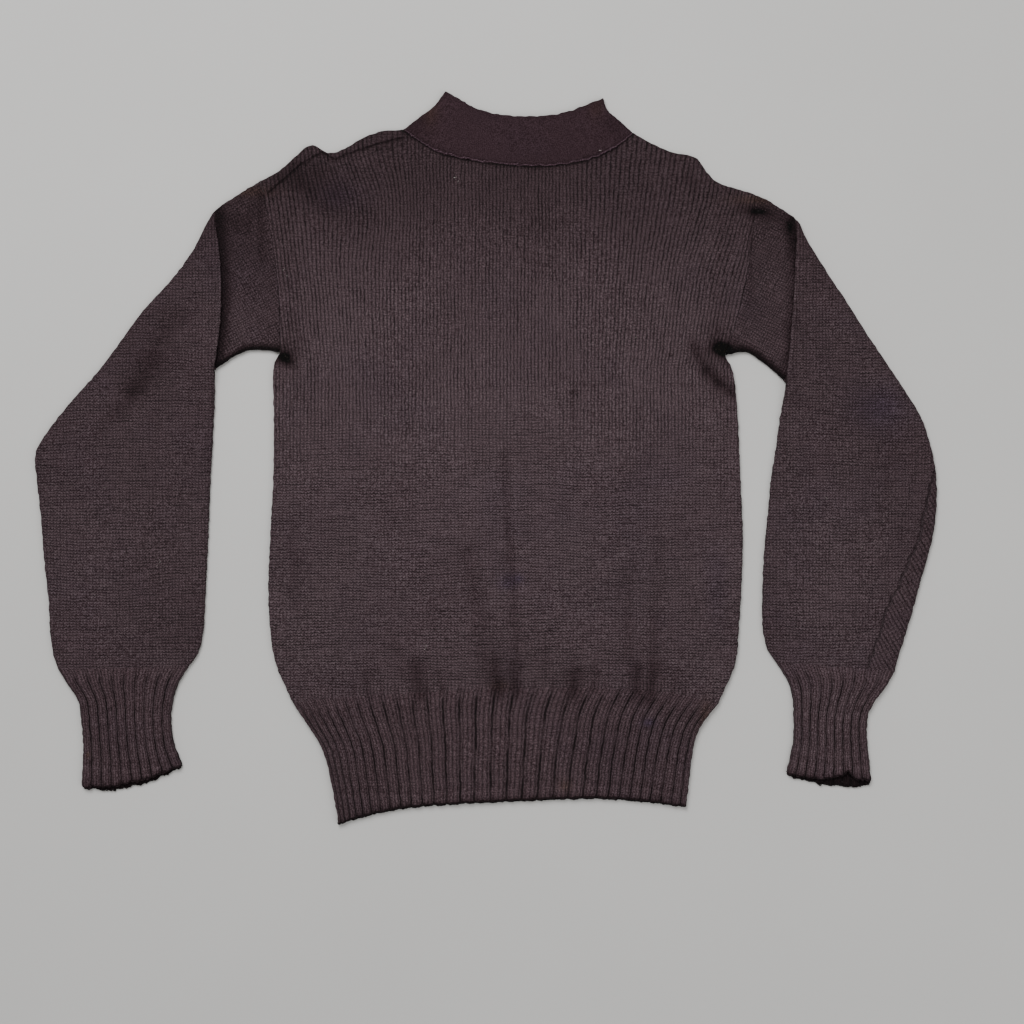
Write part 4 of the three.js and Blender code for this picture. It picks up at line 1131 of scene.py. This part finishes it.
def sleeveSeam(path, xy, upper, sewn, seam, knit, wales, tone):
    # the sleeve's own seam where it shows, with the cloth beyond it seen on the slant
    first, second, fine = arms["seamWander"]
    drawn = signedDistance(path, xy) + soft(first, xy) + soft(second, xy)
    near = (upper > 0) & (np.abs(drawn) < sewn) & (drawn > seams["shoulderBack"])
    seam = np.where(near, np.clip(drawn + soft(fine, xy), seams["threadEnd"], seams["reach"]), seam)
    beyond = smooth(drawn, 0, 3) * upper * (xy[..., 1] < arms["seamTop"])
    alongX, alongY, closer = arms["slant"]
    knit = np.where(((drawn > 1) & (upper > 0))[..., None], turnedTo(xy, alongX, alongY) / closer, knit)
    return seam, knit, mix(wales, arms["slantWales"], beyond), tone * (1 - arms["slantLoss"] * beyond)


def armPiece(name, sections, capTurn, seamPath, seed):
    plan = planThrough(sections)
    foldAt = arms["foldRow"] / (len(sections) - 1)
    capRows = rowShares(plan, sewnStart(plan), foldAt, arms["step"], fineStart=True)[:-3]
    armRows = rowShares(plan, foldAt, 1, arms["step"])[3:]
    turned = len(turnedEdge)
    downs = np.concatenate([capRows, np.full(turned, foldAt), armRows])
    places = foldedPlaces(arms["foldWidth"], arms["step"])
    outer, inner, across, down, upper, distance = tubeRings(plan, downs, places, cloth["wall"], plainHeights)
    start, stop = len(capRows), len(capRows) + turned
    row = np.arange(len(downs))[:, None]
    foldLine = (*sections[arms["foldRow"]][0:4],)
    _, along = fromLine(foldLine, outer[..., 0:2])
    _, alongInner = fromLine(foldLine, inner[..., 0:2])
    foldPath = plan(np.linspace(0, 1, 13), np.full(13, foldAt))
    off = np.abs(signedDistance(foldPath, outer[..., 0:2]))
    offInner = np.abs(signedDistance(foldPath, inner[..., 0:2]))
    awayFromFold = smooth(distance, 0, arms["edgeStarts"]) * upper
    riseShare = np.where(row < start, 0.0, 1.0) * np.ones_like(off)
    tone = toneAt(outer[..., 0:2], upper, distance)
    onCap = (row < start + arms["capRows"][0]) & (upper > 0)
    tone *= np.where(onCap, capShadow(off, along, distance, capTurn), 1.0)

    # lay the rows of the turned edge: they go under the arm's edge, round it and back over it
    small = 0.004
    here, beside = across[start:stop], down[start:stop]
    ahead = plan(here, beside + small) - plan(here, beside)
    speed = np.linalg.norm(ahead, axis=-1)
    ratio = np.clip(speed / speed[:, [len(places) // 2]], 0, 1)
    forward = plan(here, beside + small) - plan(here, beside - small)
    forward /= np.linalg.norm(forward, axis=-1, keepdims=True)
    table = np.array(turnedEdge)
    even = np.linspace(table[0, 0], table[-1, 0], turned)[:, None] * np.ones_like(ratio)
    over = smooth(distance[start:stop], 0.5, arms["edgeStarts"]) * upper[start:stop]
    over *= np.clip(along[start:stop] * 5 + 0.25, 0, 1)
    offset = mix(even, table[:, 0:1], over)
    for rings, moved in ((outer, offset), (inner, even)):
        rings[start:stop, :, 0:2] += forward * np.where(moved > 0, moved * ratio, moved)[..., None]
    riseShare[start:stop] = table[:, 1:2]
    # painted shade and highlight of the turned edge
    tone[start:stop] *= mix(1.0, table[:, 2:3], over)
    outer[..., 2] += edgeRise(off, along) * awayFromFold * riseShare
    lifted = edgeRise(offInner, alongInner) * smooth(offInner, *arms["innerStarts"]) * awayFromFold
    inner[..., 2] += np.where(row >= stop, lifted, 0)

    sewn = alongRows(outer)
    outer[..., 2] += np.where(upper > 0, -seamSink(sewn), seamSink(sewn)) * foldShare(distance)
    xy = outer[..., 0:2]
    seam = np.minimum(sewn + seams["armAt"] + soft(seams["bumps"], xy), seams["reach"])
    knit = np.stack([xy[..., 0], xy[..., 1] + soft((*arms["rowWander"], seed), xy)], axis=-1)
    least, more, far = arms["wales"]
    wales = least + more * np.exp(-off / far) * (1 - along)
    if seamPath:
        seam, knit, wales, tone = sleeveSeam(seamPath, xy, upper, sewn, seam, knit, wales, tone)
    crinkle = np.stack([soft((*size, seed + i), xy) for i, size in enumerate(arms["capCrinkle"])], axis=-1)
    cap = turnedTo(xy, *capTurn[0:2]) * arms["capStretch"]
    cap = cap + soft((*arms["capWander"], seed), xy)[..., None] + crinkle
    capKnit = row < start + arms["capRows"][1]
    knit = np.where(capKnit[..., None], cap, knit)
    wales = np.where(capKnit, arms["capWales"], wales)
    points, faces = tubeWall(outer, inner)
    fields = {
        "knit": overRings(knit), "tone": overRings(tone, tone * bodyPanels["insideTone"]),
        "seam": overRings(seam, np.full_like(seam, seams["reach"])), "wales": overRings(wales),
    }
    return makePiece(name, points, faces, fields, sleeveWool)


sleeveLeft = dress(armPiece("sleeve_left_knit", sleeveLeftSections, capTurns[0], None, 1.0),
                   "sleeve_left")
sleeveRight = dress(armPiece("sleeve_right_knit", sleeveRightSections, capTurns[1], arms["seamRight"], 4.0),
                    "sleeve_right")
for sleevePiece, flatArea in zip((sleeveLeft, sleeveRight), arms["flatAreas"]):
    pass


# yarn that is laid along an edge: cast-on edges, frayed loops and the neck's overcast seam

thinYarn = {"pitch": 2.5, "swell": 0.1, "sides": 6}
yarnLook = {
    "tip": 0.3,             # how thin a yarn ends, as a share of its radius
    "wales": 0.6,
}


def yarnRoll(path, radius, pitch, swell, sides=8):
    # a closed roll of yarn along a path, its thickness swelling once every pitch
    steps = np.linalg.norm(np.diff(path, axis=0), axis=1)
    length = np.concatenate([[0], np.cumsum(steps)])
    count = max(int(length[-1] / max(pitch / 4, 0.5)), 6)
    marks = np.linspace(0, length[-1], count + 1)
    spine = np.stack([np.interp(marks, length, path[:, i]) for i in range(3)], axis=1)
    run = np.gradient(spine, axis=0)
    run /= np.linalg.norm(run, axis=1, keepdims=True)
    side = np.cross(run, (0, 0, 1.0))
    side /= np.maximum(np.linalg.norm(side, axis=1, keepdims=True), 1e-6)
    up = np.cross(side, run)
    thick = radius * (1 + swell * np.sin(marks / pitch * 2 * np.pi))
    thick[0] = thick[-1] = radius * yarnLook["tip"]
    turn = np.linspace(0, 2 * np.pi, sides, endpoint=False)
    ring = np.cos(turn)[None, :, None] * side[:, None] + np.sin(turn)[None, :, None] * up[:, None]
    points = spine[:, None] + ring * thick[:, None, None]
    faces = loopFaces(len(spine), sides, False)
    half = sides // 2
    cap = np.array([[k, k + 1, sides - 2 - k, sides - 1 - k] for k in range(half - 1)])
    faces = np.concatenate([faces, cap[:, ::-1], cap + (len(spine) - 1) * sides])
    knit = np.stack([np.broadcast_to(turn * radius, points.shape[:2]),
                     np.broadcast_to(marks[:, None], points.shape[:2])], axis=-1)
    return points.reshape(-1, 3), faces, knit.reshape(-1, 2)


def yarnPiece(name, rolls, rollTones, material):
    points, faces, knit, tones, start = [], [], [], [], 0
    for (rollPoints, rollFaces, rollKnit), rollTone in zip(rolls, rollTones):
        if volumeOf(rollPoints, rollFaces) < 0:
            rollFaces = rollFaces[:, ::-1]
        points.append(rollPoints)
        faces.append(rollFaces + start)
        knit.append(rollKnit)
        tones.append(np.full(len(rollPoints), rollTone))
        start += len(rollPoints)
    points, faces, knit, tones = (np.concatenate(parts) for parts in (points, faces, knit, tones))
    fields = {
        "knit": knit, "tone": tones, "seam": np.full(len(points), float(seams["reach"])),
        "wales": np.full(len(points), yarnLook["wales"]),
    }
    return makePiece(name, points, faces, fields, material)


# ribbed hem and cuffs

# across the right cuff's open end, from its outer fold: how far each layer's edge stands out
mouthUpper = [(0, 0), (0.04, -1.5), (0.15, -3.5), (0.22, -6), (0.276, -13), (0.34, -7), (0.4, -6),
              (0.55, -2.5), (0.78, -0.8), (0.92, -1.5), (1, 0)]
mouthUnder = [(0, 0), (0.03, 4), (0.25, 4.4), (0.6, 3), (0.94, 1.2), (1, 0)]
# the left cuff and the hem are shut, with the under layer just showing
cuffUpper = [(0, -2), (0.5, -3.6), (1, -2.4)]
cuffUnder = [(0, -1.6), (0.06, 0), (0.4, 0.8), (0.8, 0.2), (0.97, -0.8), (1, -1.6)]
hemUpper = [(0, -1), (0.1, -2), (0.9, -2), (1, -1)]
hemUnder = [(0, -1), (0.03, -0.4), (0.97, -0.4), (1, -1)]


def ribPiece(name, plan, mouth, ribs, width, seed, fray, gape=0):
    places = np.linspace(0, 1, ribs * ribbing["perRib"] + 1)
    ends = np.array(foldSteps[:2]) / width
    places = np.sort(np.concatenate([places, ends, 1 - ends]))
    downs = rowShares(plan, sewnStart(plan) / 4, 1, ribbing["step"])
    mottle = (*ribbing["mottle"], seed)

    def ribHeights(across, down, upper, distance, xy, inner):
        place, wide, start = ribbing["gapeAt"]
        gaping = gape * np.exp(-((across - place) / wide) ** 2) * smooth(down, start, 1)
        lift = (liftAt(xy) * smooth(distance, 0, cloth["liftStarts"]) + gaping) * upper
        if inner:
            return betweenLayers(upper, cloth["upperFloor"] + lift, cloth["lowerRoof"], distance)
        least, eased = ribbing["crestEases"]
        crest = cloth["ribDepth"] * ribCrest(across * ribs) * mix(least, 1.0, smooth(down, 0, eased))
        over = cloth["upperFloor"] + cloth["ribWall"] + crest + lift + puckers(mottle, xy, distance)
        under = cloth["ribDepth"] * (1 - ribCrest(across * ribs)) * ribbing["underDepth"]
        return betweenLayers(upper, over, under, distance)

    def ribShift(across, down, upper, inner):
        # the free edge isn't straight: ribs stand out, the grooves draw in, and the cuffs are frayed
        short, long = ribbing["frayWaves"]
        waves = np.sin(across * width / short + seed) * np.sin(across * width / long)
        above, below = (np.interp(across, *np.array(layer).T) for layer in mouth)
        out = ribbing["frill"] * ribCrest(across * ribs) + fray * waves + np.where(upper > 0, above, below)
        out = out * smooth(down, ribbing["edgeStarts"], 1)
        return np.stack([out * 0, -out], axis=-1)

    outer, inner, across, down, upper, distance = tubeRings(
        plan, downs, places, cloth["ribWall"], ribHeights, ribShift)
    done = alongRows(outer)
    xy = outer[..., 0:2]
    dark, far = ribbing["edgeShade"]
    tone = toneAt(xy, upper, distance) * (1 - dark * np.exp((done - done[-1:]) / far))
    wales, varied = ribbing["wales"]
    grooves = smooth(done + soft(ribbing["groovesWander"], xy), 0, ribbing["groovesIn"])
    rounding = ribbing["rim"]
    points, faces = tubeWall(outer, inner, rounding)
    fields = {
        "knit": overRings(np.stack([across * ribs, done], axis=-1), rounding=rounding),
        "tone": overRings(tone, tone * ribbing["innerTone"], rounding),
        "seam": overRings(np.full_like(done, seams["reach"]), rounding=rounding),
        "wales": overRings(wales + soft((*varied, seed), xy), rounding=rounding),
        "ribbed": overRings(mix(ribbing["ribbedFrom"], 1.0, grooves), rounding=rounding),
    }
    piece = makePiece(name, points, faces, fields, ribWool)
    rim = points.reshape(-1, len(places) * 2 - 2, 3)[len(downs)]
    upperRim = rim[:len(places)]
    lowerRim = np.concatenate([rim[len(places) - 1:], rim[:1]])
    return piece, upperRim, lowerRim


rimTones = [0.3, 0.08]      # painted shade along the upper layer's free end, and darker for the lower one's in its shadow


def castOnEdge(name, upperRim, lowerRim):
    # the bumpy roll that a cast-on edge makes, along each layer's free end
    lower = lowerRim.copy()
    lower[:, 2] = np.maximum(lower[:, 2], ribbing["castOnRadius"] * ribbing["castOnLift"])
    size = ribbing["castOnRadius"], ribbing["castOnPitch"], ribbing["castOnSwell"]
    return yarnPiece(name, [yarnRoll(rim, *size) for rim in (upperRim, lower)], rimTones, edgeWool)


hemPlan = planBetween(left=line(hemSideLeft), right=line(hemSideRight),
                      top=line(ribLine), bottom=line(hemEdge))
hemPiece, *hemRims = ribPiece("hem_ribbing", hemPlan, (hemUpper, hemUnder), **ribbing["hem"])
dress(hemPiece, "hem_rib")
hemCastOn = dress(castOnEdge("hem_cast_on", *hemRims), None)

cuffLeft, *leftRims = ribPiece("cuff_left_ribbing", planThrough(cuffLeftSections),
                               (cuffUpper, cuffUnder), **ribbing["cuffLeft"])
dress(cuffLeft, "cuff_left")
cuffRight, *rightRims = ribPiece("cuff_right_ribbing", planThrough(cuffRightSections),
                                 (mouthUpper, mouthUnder), **ribbing["cuffRight"])
dress(cuffRight, "cuff_right")
print("sweater: ribbing made")


# frayed loops on the worn cuffs

loops = {
    "count": 26,
    "yarn": 0.5,
    "reach": (0.6, 1.8),    # how far a loop stands out
    "span": (1.6, 3.4),     # between its two ends
    "rise": (-0.3, 0.9),
    "places": (0.03, 0.97),
    "lean": 0.15,
    "tones": [0.8, 1.2, 2.4],
    "edge": (0.95, 3.0, 0.25),    # the worn edge that they stand on: radius, pitch, swell
    "seed": 11,
}


def frayedLoops(name, rims, seed):
    chance = np.random.default_rng(loops["seed"] + seed)
    half = np.linspace(0, np.pi, 8)[:, None]
    rolls, tones = [], []
    for rim, tone in zip(rims, rimTones):
        rolls.append(yarnRoll(rim, *loops["edge"]))
        tones.append(tone)
        last = len(rim) - 1
        for place in chance.uniform(*loops["places"], loops["count"]):
            low = int(place * last)
            base = mix(rim[low], rim[min(low + 1, last)], place * last - low)
            beside = rim[min(low + 2, last)] - rim[max(low - 2, 0)]
            beside = beside / max(np.linalg.norm(beside), 1e-6)
            ahead = np.array([-loops["lean"] * chance.uniform(-1, 1), -1.0, 0])
            reach, span = chance.uniform(*loops["reach"]), chance.uniform(*loops["span"])
            crown = ahead * reach + np.array([0, 0, chance.uniform(*loops["rise"])])
            path = base + np.cos(half) * beside * span / 2 + np.sin(half) * crown
            path[:, 2] = np.maximum(path[:, 2], loops["yarn"])
            rolls.append(yarnRoll(path, loops["yarn"], **thinYarn))
            tones.append(tone * chance.choice(loops["tones"]))
    for points, _, _ in rolls:
        points[:, 2] = np.maximum(points[:, 2], 0)
    return yarnPiece(name, rolls, tones, edgeWool)


loopsLeft = dress(frayedLoops("cuff_left_fray", leftRims, 0), None)
loopsRight = dress(frayedLoops("cuff_right_fray", rightRims, 5), None)


# neck band and its overcast seam

neck = {
    "step": 2.2,
    "foldWidth": 210,
    "rim": 0.9,
    "roll": (0.55, 2, 1.8),       # how much the worn top edge thickens, how far below it, how wide
    "edgeShade": (0.3, 1.5),      # how much darker at the top edge and at the seam, and how far
    "seamShade": (0.12, 5),
    # insideTone: painted shade inside the tube, as a share of the outside's tone
    "insideTone": 0.6,
    "wales": 0.7,
    "seamYarn": (0.85, 2.4, 0.22),    # radius, twist, swell
    "seamEnds": (0.012, 0.988),   # as shares of the neck seam
    "seamWobble": (0.7, 61, 23, 0.3, 140),
    "seamSinks": 0.35,
    # shares of the neck seam where it has worn loose, and how each short slanting stitch lies there
    "whips": (0.05, 0.075, 0.1, 0.13, 0.165, 0.19, 0.24, 0.3, 0.43, 0.62, 0.86),
    "whipShare": 0.012,
    "whipHalf": (1.7, 1.2),
    "whipHigh": (1.0, 0.7),
    "whipYarn": 0.55,
    "whipTone": 1.2,
    "flat": (0.41, 0.0515),
}


def bandPiece():
    plan = planBetween(left=line(bandSideLeft), right=line(bandSideRight),
                       top=line(neckSeam), bottom=line(bandEdge))
    places = foldedPlaces(neck["foldWidth"], neck["step"])
    downs = rowShares(plan, sewnStart(plan), 1, neck["step"], fineStart=True, fineEnd=True)
    outer, inner, across, down, upper, distance = tubeRings(plan, downs, places, cloth["wall"], plainHeights)
    done = alongRows(outer)
    toEdge = done[-1:] - done
    thick, below, wide = neck["roll"]
    roll = thick * np.exp(-((toEdge - below) / wide) ** 2) - seamSink(done)
    outer[..., 2] += np.where(upper > 0, roll, seamSink(done)) * foldShare(distance)
    tone = toneAt(outer[..., 0:2], upper, distance)
    for off, (dark, far) in ((toEdge, neck["edgeShade"]), (done, neck["seamShade"])):
        tone *= 1 - dark * np.exp(-off / far)
    knit = np.stack([across * cloth["neckLength"], done], axis=-1)
    points, faces = tubeWall(outer, inner, neck["rim"])
    fields = {
        "knit": overRings(knit, rounding=1), "tone": overRings(tone, tone * neck["insideTone"], 1),
        "seam": overRings(np.full_like(done, seams["reach"]), rounding=1),
        "wales": overRings(np.full_like(done, neck["wales"]), rounding=1),
    }
    return makePiece("neck_band_knit", points, faces, fields, bandWool)


def neckTop(xy, distance):
    # the neck seam's height at this distance from its ends
    lift = liftAt(xy) * smooth(distance, 0, cloth["liftStarts"])
    return cloth["upperFloor"] + cloth["wall"] + lift


def neckSeamPath():
    share = np.linspace(*neck["seamEnds"], 160)
    xy = lineAt(neckSeam, share)
    slow, slowWave, slowBeat, quick, quickWave = neck["seamWobble"]
    xy[:, 1] += slow * np.sin(share * slowWave) * np.sin(share * slowBeat + 1)
    xy[:, 1] += quick * np.sin(share * quickWave)
    distance = np.minimum(share, 1 - share) * cloth["neckLength"]
    z = mix(cloth["middle"], neckTop(xy, distance) - neck["seamSinks"], foldShare(distance))
    return np.concatenate([xy, z[:, None]], axis=1)


def whipStitches():
    marks = np.linspace(-1, 1, 7)
    forward, sideways = neck["whipHalf"]
    crown, ends = neck["whipHigh"]
    for share in neck["whips"]:
        start, end = lineAt(neckSeam, share), lineAt(neckSeam, share + neck["whipShare"])
        run = (end - start) / np.linalg.norm(end - start)
        across = np.array([-run[1], run[0]])
        path = start + marks[:, None] * (run * forward + across * sideways)
        height = neckTop(path, share * cloth["neckLength"]) + crown - ends * marks ** 2
        path = np.concatenate([path, height[:, None]], axis=1)
        yield yarnRoll(path, neck["whipYarn"], **thinYarn)


neckPiece = dress(bandPiece(), "neck_band")
neckRolls = [yarnRoll(neckSeamPath(), *neck["seamYarn"]), *whipStitches()]
neckTones = [1.0] + [neck["whipTone"]] * len(neck["whips"])
neckOvercast = dress(yarnPiece("neck_seam_overcast", neckRolls, neckTones, seamWool), None)
print("sweater: neck made")


# lint that has caught in the wool, and the broken yarn at two small holes, nearly black with the holes'
# painted shade

specks = {
    "yarn": 0.22,
    "brokenYarn": 0.484,
    "above": 0.35,
    # x, y, length, turn in degrees, how far it curls, tone
    "lint": [(-31, 279.5, 3, 20, 0.4, 2.2), (-28, 276, 2.4, 80, 0.5, 1.8), (-42, -148.5, 1.8, 30, 0.5, 2.4),
             (32, -157.5, 2, 60, 0.3, 2.4), (-326, -105.5, 7, 70, 2.2, 1.6), (114, 306.5, 3, 10, 0.6, 1.9),
             (-202, 187.5, 2.6, 40, 0.6, 2.2), (-199, 182, 2.2, 110, 0.5, 1.9), (109, -148, 5, 85, 1.2, 1.4),
             (-100, 42, 4, 15, 0.8, 1.3), (66, -20, 3.2, 130, 0.8, 1.4), (-150, -60, 5, 60, 1.4, 1.2),
             (150, 120, 3.4, 50, 0.7, 1.4), (-60, -190, 5, 75, 1.0, 1.3), (200, -90, 3.5, 20, 0.7, 1.3),
             (340, -40, 4, 140, 1.0, 1.3), (376, -90, 3, 60, 0.8, 1.5), (-380, -30, 4.5, 25, 1.0, 1.3)],
    # the broken yarn is nearly black: painted shade inside the two holes
    "broken": [(86.5, 66, 3.4, -30, 0.3, 0.05), (86.5, 63.5, 3.4, 28, 0.3, 0.05),
               (90, 63, 2.6, 95, 0.2, 0.05), (183, 103, 2.8, 70, 0.3, 0.05),
               (185, 101.5, 2.2, 10, 0.3, 0.05)],
}


def speckRoll(row, yarn):
    x, y, length, turn, curl, _ = row
    marks = np.linspace(-1, 1, 9)[:, None]
    run = np.array([np.cos(np.radians(turn)), np.sin(np.radians(turn))])
    side = np.array([-run[1], run[0]])
    xy = np.array([x, y]) + marks * run * length / 2 + marks ** 2 * side * curl
    top = cloth["upperFloor"] + cloth["wall"] + liftAt(xy) - deepest(fineCreases, xy)
    path = np.concatenate([xy, (top + specks["above"])[:, None]], axis=1)
    return yarnRoll(path, yarn, **thinYarn)


def speckPiece():
    rolls = [speckRoll(row, specks["yarn"]) for row in specks["lint"]]
    rolls += [speckRoll(row, specks["brokenYarn"]) for row in specks["broken"]]
    tones = [row[-1] for row in specks["lint"] + specks["broken"]]
    return yarnPiece("lint_and_broken_yarn", rolls, tones, lintWool)


lintPiece = dress(speckPiece(), None)
print("sweater: lint made")
